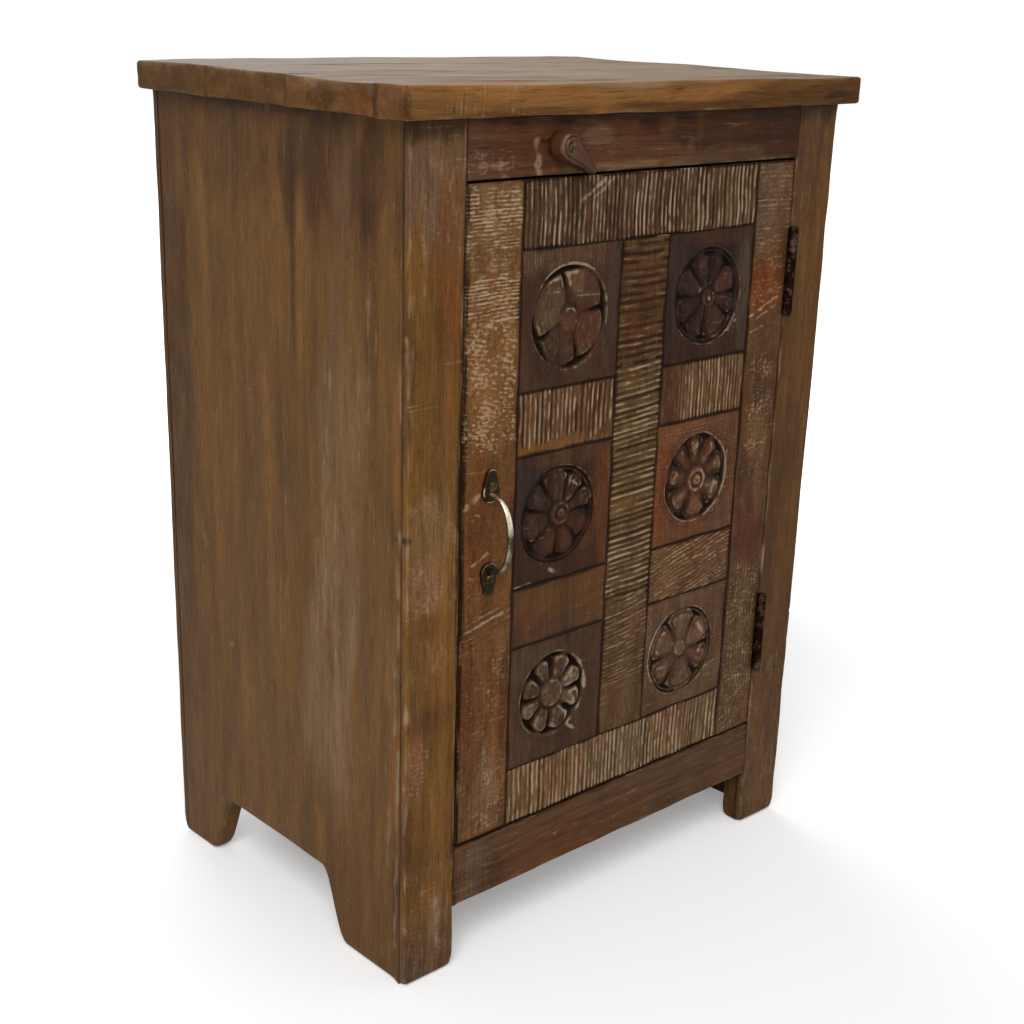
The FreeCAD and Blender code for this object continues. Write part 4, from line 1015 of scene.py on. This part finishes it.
doorBoards = {
    "seed": 101, "seedStep": 9, "tongueSeed": 190, "joints": (leftSide, rightSide, underside, upperSide),
    "edge": 0.9, "wave": 0.25, "rub": 0.3, "rubWidth": 1.6, "lime": 0.05, "grime": 0.08, "hem": 1.3,
    "hidden": rearSide, "fullDepth": 1.0, "fade": 7,
    "boards": {
        "door_stile_left": {
            "finish": "limedStile", "steps": (1.0, 4, 0.66), "tone": (104, 72, 44), "joints": (rightSide,),
            "stains": onFront(
                # The first mark on the next line, a dark strip along the stile's outer edge, is painted shade
                # that widens the dark gap beside the post
                (-155, 320, 2.8, 260, (30, 18, 11), 0.95), (-132, 542, 40, 1.8, (52, 34, 20), 0.7),
                (-132, 95, 40, 2.5, (48, 32, 20), 0.7), (-132, 520, 30, 34, (108, 84, 60), 0.7),
                (-132, 430, 30, 50, (116, 80, 48), 0.6), (-145, 330, 12, 40, (98, 56, 32), 0.6),
                (-128, 300, 14, 60, (88, 58, 34), 0.5), (-136, 200, 30, 40, (98, 62, 38), 0.5),
                (-127, 128, 10, 34, (112, 92, 74), 0.65), (-115, 190, 4, 44, (70, 36, 24), 0.7),
                (-146, 170, 5, 60, (80, 46, 28), 0.55), (-113, 110, 4, 20, (64, 44, 30), 0.6),
                (-142, 110, 7, 20, (110, 74, 46), 0.5), (-150, 250, 8, 80, (92, 50, 28), 0.4)),
            "zones": (
                zone((-156, -109, 503, 538), "x", 2.3, 0.4, lime=1.0, mottle=0.4, dark=0.4),
                zone((-156, -109, 455, 484), "x", 2.6, 0.4, lime=0.95, mottle=0.4, dark=0.4),
                zone((-156, -109, 484, 503), "x", 2.6, 0.2, mottle=0.4),
                zone((-154, -112, 372, 456), "z", 2.8, 0.2, mottle=0.62, dark=0.15),
                zone((-152, -128, 98, 240), "z", 4.0, 0.25, lime=0.12, mottle=0.16, dark=0.4),
                zone((-134, -114, 100, 160), "z", 3.0, 0.3, lime=0.1, mottle=0.24, dark=0.5),
                zone((-130, -112, 176, 236), "z", 3.6, 0.25, lime=0.1, mottle=0.3, dark=0.4),
                zone((-156, -109, 240, 268), "x", 5.0, 0.25, lime=0.2, tilt=12)),
            "strokes": (
                (-146, 298, -133, 304, 1.6, 0.9), (-152, 252, -118, 259, 1.7, 0.8),
                (-150, 257, -122, 263, 1.2, 0.6), (-153, 338, -142, 345, 3.5, 0.8),
                (-144, 333, -141, 332, 1.6, 0.8), (-148, 290, -146, 288, 1.6, 0.7),
                (-128, 104, -126, 128, 1.6, 0.4), (-138, 98, -134, 112, 2.0, 0.35),
                (-112, 220, -111, 300, 0.9, 0.2)),
        },
        "door_stile_right": {
            "finish": "limedStile", "steps": (0.95, 4, 0.75), "tone": (86, 61, 43), "joints": (leftSide,),
            "stains": onFront(
                (135, 520, 24, 34, (94, 76, 62), 0.7), (132, 455, 18, 22, (110, 56, 28), 0.75),
                (140, 392, 20, 26, (78, 56, 42), 0.5), (138, 262, 20, 24, (86, 48, 34), 0.6),
                (132, 372, 8, 12, (52, 34, 24), 0.6), (136, 340, 12, 20, (112, 86, 62), 0.6),
                (124, 316, 6, 22, (60, 38, 26), 0.6), (146, 300, 6, 26, (106, 78, 54), 0.5),
                (135, 170, 24, 60, (90, 72, 54), 0.6)),
            "zones": (
                zone((116, 156, 484, 540), "x", 3.2, 0.3, lime=0.4, mottle=0.1, dark=0.3),
                zone((118, 150, 440, 486), "z", 3.6, 0.2, mottle=0.3, dark=0.2),
                zone((116, 152, 96, 240), "z", 3.4, 0.3, lime=0.35, mottle=0.2, dark=0.3),
                zone((120, 150, 300, 330), "x", 4.5, 0.25, lime=0.25, dark=0.5, tilt=22),
                zone((124, 150, 330, 404), "z", 3.8, 0.3, lime=0.1, mottle=0.34, dark=0.5)),
            "strokes": (
                (117, 432, 148, 444, 1.7, 0.95), (118, 427, 146, 438, 1.2, 0.8),
                (119, 420, 134, 424, 1.3, 0.7), (122, 410, 143, 418, 1.0, 0.4),
                (120, 395, 140, 405, 1.0, 0.25), (126, 354, 131, 366, 1.6, 0.5),
                (118, 118, 140, 128, 1.2, 0.35), (120, 108, 132, 112, 1.2, 0.35),
                (120, 312, 146, 322, 2.2, 0.25)),
        },
        "door_rail_top": {
            "finish": "sawnAcross", "steps": (0.7, 4, 1.1), "tone": (79, 58, 42),
            "joints": (leftSide, rightSide),
            "stains": onFront(
                (0, 542, 130, 1.8, (44, 28, 18), 0.8), (0, 499, 130, 2, (44, 28, 18), 0.7),
                (-20, 508, 40, 12, (78, 44, 34), 0.6), (-75, 520, 16, 40, (66, 48, 36), 0.5),
                (95, 520, 20, 30, (84, 68, 48), 0.6)),
            "zones": (zone((-112, 118, 497, 544), "z", 4.1, 0.95, lime=0.85, dark=0.5),),
            "strokes": ((-38, 539, -60, 526, 1.5, 1.7), (-28, 541, -48, 528, 1.4, 1.5)),
        },
        "door_rail_bottom": {
            "finish": "sawnAcross", "steps": (0.7, 4, 1.1), "tone": (118, 91, 66),
            "joints": (leftSide, rightSide),
            "stains": onFront(
                (0, 95, 130, 2, (46, 30, 19), 0.7), (-80, 120, 34, 30, (110, 80, 48), 0.6),
                (10, 118, 30, 20, (92, 84, 66), 0.6), (62, 122, 14, 18, (104, 68, 54), 0.6),
                (100, 110, 20, 30, (94, 78, 56), 0.5)),
            "zones": (zone((-112, 118, 93, 139), "z", 3.9, 0.75, lime=1.1, dark=0.35),),
        },
        "door_mullion": {
            "finish": "sawnAlong", "steps": (1.4, 4, 0.7), "tone": (88, 66, 44),
            "joints": (leftSide, rightSide),
            "stains": onFront(
                (3, 465, 30, 48, (72, 46, 27), 0.85), (-8, 425, 12, 20, (76, 36, 20), 0.5),
                (3, 340, 30, 70, (92, 74, 50), 0.5), (3, 155, 30, 26, (88, 68, 48), 0.6)),
            "zones": (
                zone((-22, 27, 412, 498), "x", 5.2, 0.7, lime=0.3, dark=0.8, tilt=2),
                zone((-22, 27, 240, 415), "x", 4.3, 0.95, lime=1.05, dark=0.45, tilt=3),
                zone((-22, 27, 176, 242), "x", 3.6, 0.5, lime=0.75, dark=0.35, tilt=6),
                zone((-22, 27, 138, 178), "x", 6.0, 0.2, lime=0.15, dark=0.2, tilt=4)),
        },
        "spacer_left_upper": {
            "finish": "sawnAcross", "steps": (0.7, 4, 1.1), "tone": (96, 68, 44),
            "stains": onFront(
                (-40, 386, 24, 24, (78, 52, 34), 0.5), (-75, 368, 34, 7, (112, 78, 46), 0.7)),
            "zones": (zone((-112, -18, 371, 409), "z", 4.2, 0.9, lime=1.0, dark=0.4),),
        },
        "spacer_right_upper": {
            "finish": "sawnAcross", "steps": (0.7, 4, 1.1), "tone": (98, 74, 52),
            "stains": onFront((34, 386, 18, 30, (76, 46, 34), 0.8)),
            "zones": (zone((44, 118, 362, 409), "z", 3.7, 0.7, lime=0.9, dark=0.35),),
        },
        "spacer_left_lower": {
            "finish": "postWood", "steps": (1.2, 4, 1.2), "tone": (84, 54, 30),
            "stains": onFront(
                (-60, 236, 50, 10, (70, 48, 34), 0.6), (-90, 262, 20, 12, (98, 66, 36), 0.5)),
            "zones": (zone((-112, -18, 227, 274), "x", 8, 0.2, lime=0.06, dark=0.3, tilt=9),),
            "strokes": ((-23, 262, -23, 240, 1.0, 0.6), (-108, 270.5, -92, 271.5, 0.9, 0.5)),
        },
        "spacer_right_lower": {
            "finish": "limedStile", "steps": (0.9, 4, 0.9), "tone": (96, 70, 48),
            "stains": onFront((90, 262, 30, 16, (88, 54, 36), 0.5)),
            "zones": (zone((24, 117, 227, 274), "x", 3.4, 0.4, lime=0.7, mottle=0.15, dark=0.3, tilt=14),),
        },
    },
}
for number, (node, low, high, look, seed) in enumerate(boardsOf(doorBoards)):
    sheetLow, sheetHigh = corners("door_backing")
    rebate, ends = None, []
    if node.startswith("door_rail"):
        low[0], high[0] = corners("door_stile_left")[1][0], corners("door_stile_right")[0][0]
        wall, keep = (high[2], sheetHigh[2]) if node == "door_rail_top" else (low[2], sheetLow[2])
        rebate = (2, wall, keep, sheetLow[1], low[2] - 1, high[2] + 1)
        ends = tongues(node, low, high, look["tongueSeed"] + number)
    if node.startswith("door_stile"):
        wall, keep = (low[0], sheetLow[0]) if node == "door_stile_left" else (high[0], sheetHigh[0])
        rebate = (0, wall, keep, sheetLow[1], sheetLow[2], sheetHigh[2])
    board = wornBlock(low, high, look, seed, face=sawnFace, rebate=rebate)
    makePiece(node, [board, *ends], finishes[look["finish"]])
print("Door boards done")


# Carved tiles

tiles = {
    "seed": 301, "seedStep": 13,
    "edge": 0.9, "steps": (0.55, 5, 0.55), "wave": 0.2, "rub": 0.25, "rubWidth": 1.4, "lime": 0.04,
    "grime": 0.1, "hem": 0.8, "hidden": rearSide, "joints": (leftSide, rightSide, underside, upperSide),
    "fullDepth": 4.2, "fade": 12, "sink": 4.0, "shallow": 0.5, "rim": 0.9, "gapWidth": 0.15,
    "gapSpread": 0.012, "wall": 1.5, "power": 2.4, "petalTop": -0.5, "crown": 1.5, "scallop": 3.0,
    "worn": 0.14, "beads": ((0.2, 1.3, 0.0),), "bossTop": -0.4, "bossGroove": 1.0, "limeEdge": 0.6,
    "boards": {
        "tile_left_upper": {
            "tone": (63, 44, 34), "centre": (-65.5, 452.5), "ring": 34.0, "gaps": (8, 102, 206, 288),
            "gapWidth": 0.35, "gapSpread": 0.012, "boss": (-0.6, -1.8, 8.0), "bossTop": -0.2,
            "bossGroove": 0.3, "bossSquash": 0.9, "crown": 1.8, "scallop": 3.4, "limeSide": 100,
            "limeEdge": 0.9, "shallow": 0.42, "sink": 3.9, "rim": 0.5, "faint": 0.5, "faintAngle": -1.2,
            "stains": onFront(
                (-78, 494, 44, 14, (86, 66, 50), 0.7), (-85, 460, 13, 16, (92, 74, 54), 0.6),
                (-48, 440, 22, 22, (84, 50, 38), 0.6), (-28, 455, 12, 40, (58, 48, 46), 0.7),
                (-62, 476, 8, 9, (104, 84, 62), 0.6), (-66, 448, 7, 7, (92, 60, 44), 0.6)),
            "zones": (zone((-110, -22, 484, 500), "z", 2.6, 0.4, lime=0.45),),
            # These strokes follow the top of the ring bead as a painted highlight
            "strokes": (
                (-88, 479, -78, 484.4, 1.2, 0.9), (-78, 484.4, -64, 487, 1.3, 1.0),
                (-64, 487, -52, 485, 1.3, 1.0), (-52, 485, -45, 481.5, 1.2, 0.7)),
            "mottle": 0.1,
        },
        "tile_right_upper": {
            "tone": (46, 31, 26), "fullDepth": 3.2, "centre": (70.0, 452.5), "ring": 34.5,
            "gaps": (0, 52, 90, 130, 180, 222, 262, 325), "boss": (1.0, -2.0, 6.5),
            "beads": ((0.3, 1.1, 0.1), (-2.2, 0.9, -0.4)), "rim": 2.8, "vein": 1.1, "limeSide": -60,
            "bossGroove": 1.4,
            "stains": onFront(
                (88, 460, 12, 12, (80, 48, 40), 0.6), (106, 455, 8, 50, (82, 70, 58), 0.6),
                (75, 494, 44, 7, (74, 46, 34), 0.5), (35, 470, 10, 30, (50, 42, 42), 0.6)),
            "strokes": ((60, 457, 72, 460, 1.2, 0.6), (94, 425, 102, 432, 1.3, 0.5)), "mottle": 0.08,
        },
        "tile_left_middle": {
            "tone": (56, 37, 28), "fullDepth": 3.4, "centre": (-69.0, 317.5), "ring": 34.5,
            "gaps": (0, 38, 70, 120, 165, 215, 268, 312), "boss": (2.2, 1.0, 8.8), "bossGroove": 1.6,
            "beads": ((0.3, 1.1, 0.1), (-2.2, 0.9, -0.4)), "rim": 2.8, "vein": 0.9, "limeEdge": 0.5,
            "stains": onFront(
                (-26, 318, 12, 50, (100, 62, 32), 0.65), (-100, 340, 18, 40, (50, 40, 40), 0.7),
                (-60, 300, 16, 14, (84, 48, 34), 0.6), (-60, 359, 40, 7, (84, 56, 38), 0.6),
                (-95, 282, 18, 12, (46, 38, 38), 0.6)),
            "strokes": (
                (-76, 280, -71, 277.5, 2.2, 1.0), (-21.5, 352, -21.5, 336, 1.0, 0.7),
                (-108, 273.5, -94, 274.5, 1.0, 0.8), (-60, 341, -52, 336, 1.2, 0.6)),
        },
        "tile_right_middle": {
            "tone": (98, 63, 41), "fullDepth": 2.6, "centre": (70.5, 318.5), "ring": 33.5,
            "gaps": (-5, 40, 75, 115, 150, 195, 245, 300), "beads": ((0, 1.1, 0.1), (3.2, 1.0, -0.1)),
            "rim": 1.4, "sink": 3.4, "shallow": 0.42, "vein": 1.3, "boss": (1.4, -2.2, 9.8),
            "limeEdge": 1.3, "limeSide": -20, "bossGroove": 1.8, "worn": 0.34,
            "zones": (zone((26, 115, 273, 363), "x", 2.6, 0.4, lime=0.3),),
            "stains": onFront(
                (32, 320, 12, 50, (110, 60, 35), 0.7), (60, 355, 40, 10, (110, 74, 44), 0.6),
                (104, 285, 18, 20, (82, 64, 52), 0.6), (104, 340, 12, 26, (84, 62, 46), 0.5)),
            # The first three strokes follow the right of the ring bead as a painted highlight
            "strokes": (
                (103.5, 326, 103, 312, 1.5, 1.3), (104, 334, 103.5, 326, 1.2, 0.9),
                (103, 312, 99, 303, 1.3, 0.8), (92, 312, 89, 304, 2.2, 0.9), (84, 294, 76, 290, 2.2, 0.9),
                (64, 340, 70, 343, 2.4, 0.7), (48, 322, 52, 330, 2.2, 0.6)),
            "mottle": 0.12,
        },
        "tile_left_lower": {
            "tone": (68, 49, 37), "centre": (-68.5, 185.0), "ring": 30.5, "beads": ((4.6, 0.8, 0.0),),
            "faint": 0.75, "faintAngle": 2.8, "gaps": (0, 42, 93, 135, 180, 222, 265, 315), "gapWidth": 0.3,
            "gapSpread": 0.03, "rim": 0.5, "scallop": 3.6, "worn": 0.25, "sink": 4.6, "shallow": 0.45,
            "petalTop": -0.1, "crown": 1.6, "boss": (0, 0.6, 11.0), "bossTop": -0.1, "bossGroove": 0.0,
            "limeEdge": 1.0, "limeSide": -10,
            "stains": onFront(
                (-95, 215, 20, 16, (84, 66, 52), 0.6), (-50, 190, 9, 9, (118, 98, 82), 0.6),
                (-52, 174, 9, 9, (120, 100, 82), 0.6), (-92, 176, 8, 8, (112, 92, 76), 0.6),
                (-66, 186, 8, 8, (86, 62, 46), 0.5), (-100, 150, 12, 20, (80, 66, 54), 0.5)),
            "strokes": (
                (-52, 156, -46, 152, 2.0, 1.0), (-55, 193, -50, 194, 1.6, 0.5),
                (-50, 180, -46, 172, 1.8, 0.7)),
            "mottle": 0.08,
        },
        "tile_right_lower": {
            "tone": (94, 69, 52), "fullDepth": 3.2, "centre": (67.0, 182.0), "ring": 35.0,
            "gaps": (0, 58, 122, 186, 238, 312), "gapWidth": 0.4, "boss": (-1.0, 2.0, 6.6),
            "beads": ((0.3, 1.1, 0.2), (-2.2, 0.9, -0.2)), "rim": 2.4, "vein": 1.4, "veinAt": 3.0,
            "bossGroove": 0.4, "shallow": 0.38, "limeEdge": 1.3, "limeSide": 135, "worn": 0.28,
            "zones": (zone((26, 115, 138, 228), "x", 2.4, 0.4, lime=0.3),),
            "stains": onFront(
                (34, 145, 14, 12, (66, 46, 32), 0.6), (95, 150, 24, 14, (94, 76, 58), 0.5),
                (85, 176, 12, 10, (70, 46, 34), 0.6), (68, 160, 10, 9, (74, 50, 38), 0.5)),
            # The first four strokes follow the left of the ring bead as a painted highlight
            "strokes": (
                (49, 213.4, 38.4, 204, 1.5, 1.3), (38.4, 204, 32.2, 192.5, 1.6, 1.5),
                (32.2, 192.5, 31.2, 178, 1.5, 1.3), (31.2, 178, 35, 165, 1.3, 0.9),
                (96, 160, 108, 164, 1.0, 0.6), (84, 200, 90, 192, 2.4, 0.8), (88, 176, 94, 184, 2.0, 0.7)),
            "mottle": 0.1,
        },
    },
}
for node, low, high, look, seed in boardsOf(tiles):
    makePiece(node, [wornBlock(low, high, look, seed, face=rosetteFace)], finishes["carvedWood"])
print("Carved tiles done")


# Boards inside and behind

inner = {
    "seed": 501, "seedStep": 3, "edge": 1.0, "wave": 0.3, "rub": 0.15, "lime": 0.05, "grime": 0.15,
    "finish": "innerDeep", "tone": (112, 84, 56), "steps": (8, 8, 8),
    "boards": {
        "top_cleat_left": {}, "top_cleat_right": {}, "floor_cleat_left": {}, "floor_cleat_right": {},
        "shelf_cleat_left": {}, "shelf_cleat_right": {},
        "rear_rail_top": {"finish": "innerAcross", "tone": (100, 72, 46)},
        "rear_rail_bottom": {"finish": "innerAcross", "tone": (96, 70, 46)},
        "cabinet_floor": {"finish": "innerAcross", "tone": (104, 76, 50)},
        "shelf": {"finish": "innerAcross", "tone": (104, 76, 50)},
        "door_stop": {"finish": "innerUp", "tone": (96, 66, 42)},
        "back_panel": {"finish": "sheetWood", "tone": (142, 112, 78)},
        "door_backing": {"finish": "sheetWood", "tone": (136, 106, 74)},
    },
}
for node, low, high, look, seed in boardsOf(inner):
    makePiece(node, [wornBlock(low, high, look, seed)], finishes[look["finish"]])
print("Inner boards done")


# Turn button and bow pull

def skinRings(outline, roots, rings, rise):
    # Rings from back to front: each is the outline drawn in to its line of centres by the first number of its
    # pair, and put at the depth that rise gives for the second
    spots = []
    for draw, lift in rings:
        flat = roots + draw * (outline - roots)
        spots.append(np.stack((flat[:, 0], rise(lift) * np.ones(len(flat)), flat[:, 1]), 1))
    return ringSkin(np.array(spots))


turnButton = {
    "seed": 15, "bands": 0.2,
    "pivotRadius": 8.5, "tipRadius": 2.5, "points": 96, "thinning": 0.42, "sink": 0.5, "tone": (76, 44, 30),
    "rub": 0.9, "lime": 0.0,
    "rings": (
        (0.06, 0), (0.6, 0), (0.97, 0), (1, 0.03), (1, 0.3), (1, 0.66), (0.985, 0.78), (0.95, 0.87),
        (0.89, 0.93), (0.83, 0.96), (0.79, 0.93), (0.75, 0.9), (0.71, 0.94), (0.66, 0.985), (0.6, 1.0),
        (0.4, 1.0), (0.2, 0.995), (0.06, 0.99)),
}


def turnButtonSkin(node, look):
    # A leaf whose thickness falls off along the tail by thinning * share ^ 1.3, dished round the pivot screw
    low, high = corners(node)
    big, small = look["pivotRadius"] * mm, look["tipRadius"] * mm
    pivot, tip = (low[0] + big, high[2] - big), (high[0] - small, low[2] + small)
    outline, roots = leafOutline(pivot, big, tip, small, look["points"])
    tail = np.linalg.norm(roots - pivot, axis=1) / np.linalg.norm(np.subtract(tip, pivot))
    thick = (high[1] - low[1]) * (1 - look["thinning"] * tail ** 1.3)
    points, quads, caps = skinRings(outline, roots, look["rings"], lambda lift: high[1] - lift * thick)
    points[:, 1] += 0.12 * mm * ripple(points, 0.006, 9)
    screwLow, screwHigh = corners("turn_button_screw")
    head, middle = (screwHigh[0] - screwLow[0]) / 2, (screwLow + screwHigh) / 2
    gap = np.hypot(points[:, 0] - middle[0], points[:, 2] - middle[2])
    onFace = points[:, 1] < low[1] + 2 * mm
    points[:, 1] += look["sink"] * mm * (1 - ease(gap, head, head + 0.8 * mm)) * onFace
    finish = np.zeros((len(points), 4))
    draws, lifts = (np.repeat([pair[k] for pair in look["rings"]], look["points"]) for k in (0, 1))
    rim = np.exp(-((draws - 0.93) / 0.06) ** 2) * (lifts > 0.5) + 0.6 * np.exp(-((draws - 0.64) / 0.05) ** 2)
    finish[:, 0] = look["lime"] + look["rub"] * rim * (0.45 + 0.5 * ripple(points, 0.008, 12))
    finish[:, 1] = 0.55 * np.exp(-((draws - 0.75) / 0.05) ** 2) + 0.7 * (lifts < 0.1)
    finish[:, 3] = 0.4
    return points, quads, caps, paint(points, look, look["seed"]), np.clip(finish, 0, 1)


makePiece("turn_button", [turnButtonSkin("turn_button", turnButton)], finishes["turnedWood"])

bowPull = {
    "span": 26.5, "wire": 2.05, "swell": 0.25, "padAt": 28.0, "padRadius": 7.5, "tipRadius": 4.5,
    "padThick": 2.5, "points": 64,
    "rings": (
        (0.06, 0), (0.6, 0), (0.98, 0), (1, 0.1), (1, 0.45), (0.985, 0.7), (0.93, 0.86), (0.84, 0.95),
        (0.7, 1.0), (0.4, 1.0), (0.06, 1.0)),
}


def bowPullSkins(node, look):
    # Bow: a circle carried along x = middle, z = centre + span * cos(t), y = face - depth * sin(t) ^ 0.8,
    # with t from 0 to pi. Pads: leaf outlines with a bumpy rim, raised ring by ring, above and below the bow.
    # The bow is rubbed bright, most in its upper half, where the extra brightness is a painted highlight, and
    # the pads are rubbed along their rims.
    low, high = corners(node)
    middle, centre = (low[0] + high[0]) / 2, (low[2] + high[2]) / 2
    steps, sunk = 61, 0.8 * mm
    turn = np.linspace(0.0, math.pi, steps)
    swell = 1 - look["swell"] + look["swell"] * np.sin(turn)
    radius = look["wire"] * mm * (swell + 0.5 * np.exp(-(np.sin(turn) / 0.12) ** 2))
    reach = high[1] - low[1] - radius[steps // 2]
    depth = high[1] - sunk - (reach - sunk) * np.abs(np.sin(turn)) ** 0.8
    path = np.stack((np.full(steps, middle), depth, centre + look["span"] * mm * np.cos(turn)), 1)
    ahead = np.gradient(path, axis=0)
    ahead /= np.linalg.norm(ahead, axis=1, keepdims=True)
    ahead[0], ahead[-1] = (0, -1, 0), (0, 1, 0)
    across = np.array((1.0, 0, 0))
    out = np.cross(across, ahead)[:, None]
    angle = np.linspace(0, 2 * math.pi, 28, endpoint=False)[None, :, None]
    circle = 1.1 * np.cos(angle) * across + 0.92 * np.sin(angle) * out
    skins = [ringSkin((path[:, None] + radius[:, None, None] * circle)[::-1])]
    big, small, thick = look["padRadius"] * mm, look["tipRadius"] * mm, look["padThick"] * mm
    angle = np.linspace(0, 2 * math.pi, look["points"], endpoint=False)
    bumps = np.clip(ripple(np.stack((np.cos(angle), np.sin(angle)), 1), 1.2, 25), -1, 1)
    for up, end in ((1, high[2]), (-1, low[2])):
        pivot, tip = (middle, centre + up * look["padAt"] * mm), (middle, end - up * small)
        outline, roots = leafOutline(pivot, big, tip, small, look["points"])
        outline = roots + (0.975 + 0.025 * bumps[:, None]) * (outline - roots)
        skins.append(skinRings(outline, roots, look["rings"], lambda lift: high[1] - lift * thick))
    parts = []
    for number, (points, quads, caps) in enumerate(skins):
        points = points + 0.06 * mm * ripple(points, 0.004, 21)[:, None] * np.array((0, 1, 0))
        finish = np.zeros((len(points), 4))
        if number == 0:
            up = (points[:, 2] - centre) / mm
            # Less tarnish toward the top of the bow: a painted highlight where the light falls
            finish[:, 0] = 0.58 + 0.42 * ease(up, 0, 11) - 0.12 * np.exp(-(up / 4) ** 2)
            finish[:, 1] = 0.6 * np.exp(-((points[:, 1] - high[1]) / 0.0035) ** 2)
        else:
            draws = np.repeat([pair[0] for pair in look["rings"]], look["points"])
            rim = np.exp(-((draws - 0.94) / 0.07) ** 2)
            finish[:, 0] = rim * (0.62 + 0.45 * ripple(points, 0.007, 23))
        parts.append((points, quads, caps, np.ones((len(points), 4)), finish))
    return parts


makePiece("bow_pull", bowPullSkins("bow_pull", bowPull), finishes["bowBrass"])
print("Turn button and bow pull done")


# Screws, hinges and washer keep the frame's own shapes and get their metal here
metalOf = {"pull_screws": "darkBrass", "turn_button_washer": "agedIron", "turn_button_screw": "darkBrass"}
for node, thing in frame["nodes"].items():
    if thing.hide_render:
        continue
    usual = "agedIron" if node.startswith("hinge") and "screws" not in node else "screwSteel"
    kind = metalOf.get(node, usual)
    thing.data.materials.clear()
    thing.data.materials.append(finishes[kind])
    thing.data.polygons.foreach_set("material_index", np.zeros(len(thing.data.polygons), int))
print("Hardware finishes done")


# Camera, light and floor

def stand(thing, axes, place):
    # World matrix from a thing's own three axes and its place
    matrix = np.eye(4)
    matrix[:3, :3] = np.stack(axes, axis=1)
    matrix[:3, 3] = place
    thing.matrix_world = Matrix(matrix.tolist())


shot = {
    "place": (-0.7773, -0.84806, 0.6517), "lens": 55.24, "shift": (-0.0034, 0.027),
    "right": (0.73815817, -0.67396386, 0.02992042), "down": (-0.20196194, -0.26308046, -0.94339814),
    "ahead": (0.64368773, 0.69033426, -0.33031004),
}
camera = newObject("camera", bpy.data.cameras.new("camera"))
stand(camera, (shot["right"], -np.array(shot["down"]), -np.array(shot["ahead"])), shot["place"])
camera.data.sensor_width = 36
camera.data.lens = shot["lens"]
camera.data.shift_x, camera.data.shift_y = shot["shift"]
camera.data.clip_start = 0.02
bpy.context.scene.camera = camera

lamps = {
    "key": {"place": (-1.6, -1.4, 2.1), "size": 1.4, "power": 50},
    "fill": {"place": (1.6, -2.0, 1.2), "size": 1.8, "power": 4},
    "back": {"place": (0.6, 1.8, 1.6), "size": 1.6, "power": 18},
}
for name, values in lamps.items():
    light = bpy.data.lights.new(name, "AREA")
    light.energy, light.size, light.shape = values["power"], values["size"], "DISK"
    toward = np.array((0, 0, 0.3)) - np.array(values["place"])  # the middle of the cabinet
    back = -toward / np.linalg.norm(toward)
    right = np.cross((0, 0, 1), back)
    right /= np.linalg.norm(right)
    stand(newObject(name, light), (right, np.cross(back, right), back), values["place"])

# The room is white behind the cabinet and in its reflections, and dimmer as a light
roomLight, floorGrey = 0.42, 0.86
world = bpy.data.worlds.new("room")
bpy.context.scene.world = world
world.use_nodes = True
tree = world.node_tree
rays = add(tree, "ShaderNodeLightPath").outputs
seen = maths(tree, "MAXIMUM", rays["Is Camera Ray"], rays["Is Glossy Ray"])
seen = maths(tree, "MAXIMUM", seen, rays["Is Transmission Ray"])
tree.links.new(band(tree, seen, 0.0, 1.0, roomLight, 1.0), tree.nodes["Background"].inputs["Strength"])
tree.nodes["Background"].inputs["Color"].default_value = (1, 1, 1, 1)

# The floor fades to white with distance, so that only the shadow round the feet shows
floorMesh = bpy.data.meshes.new("floor")
floorMesh.from_pydata([(-6, -6, 0), (6, -6, 0), (6, 6, 0), (-6, 6, 0)], [], [(0, 1, 2, 3)])
floor = newObject("floor", floorMesh)
paleFloor, tree, shader = newMaterial("paleFloor")
shader.inputs["Base Color"].default_value = (floorGrey, floorGrey, floorGrey, 1)
shader.inputs["Roughness"].default_value = 0.9
shader.inputs["Specular IOR Level"].default_value = 0.2
shader.inputs["Emission Color"].default_value = (1, 1, 1, 1)
place = add(tree, "ShaderNodeTexCoord").outputs["Object"]
far = add(tree, "ShaderNodeVectorMath", {0: place}, operation="LENGTH").outputs["Value"]
direct = add(tree, "ShaderNodeLightPath").outputs["Is Camera Ray"]
glow = times(tree, direct, band(tree, far, 0.45, 1.1, 0.25, 1.0))
tree.links.new(glow, shader.inputs["Emission Strength"])
floorMesh.materials.append(paleFloor)
bpy.context.scene.view_settings.view_transform = "Standard"
print("Camera, light and floor done")
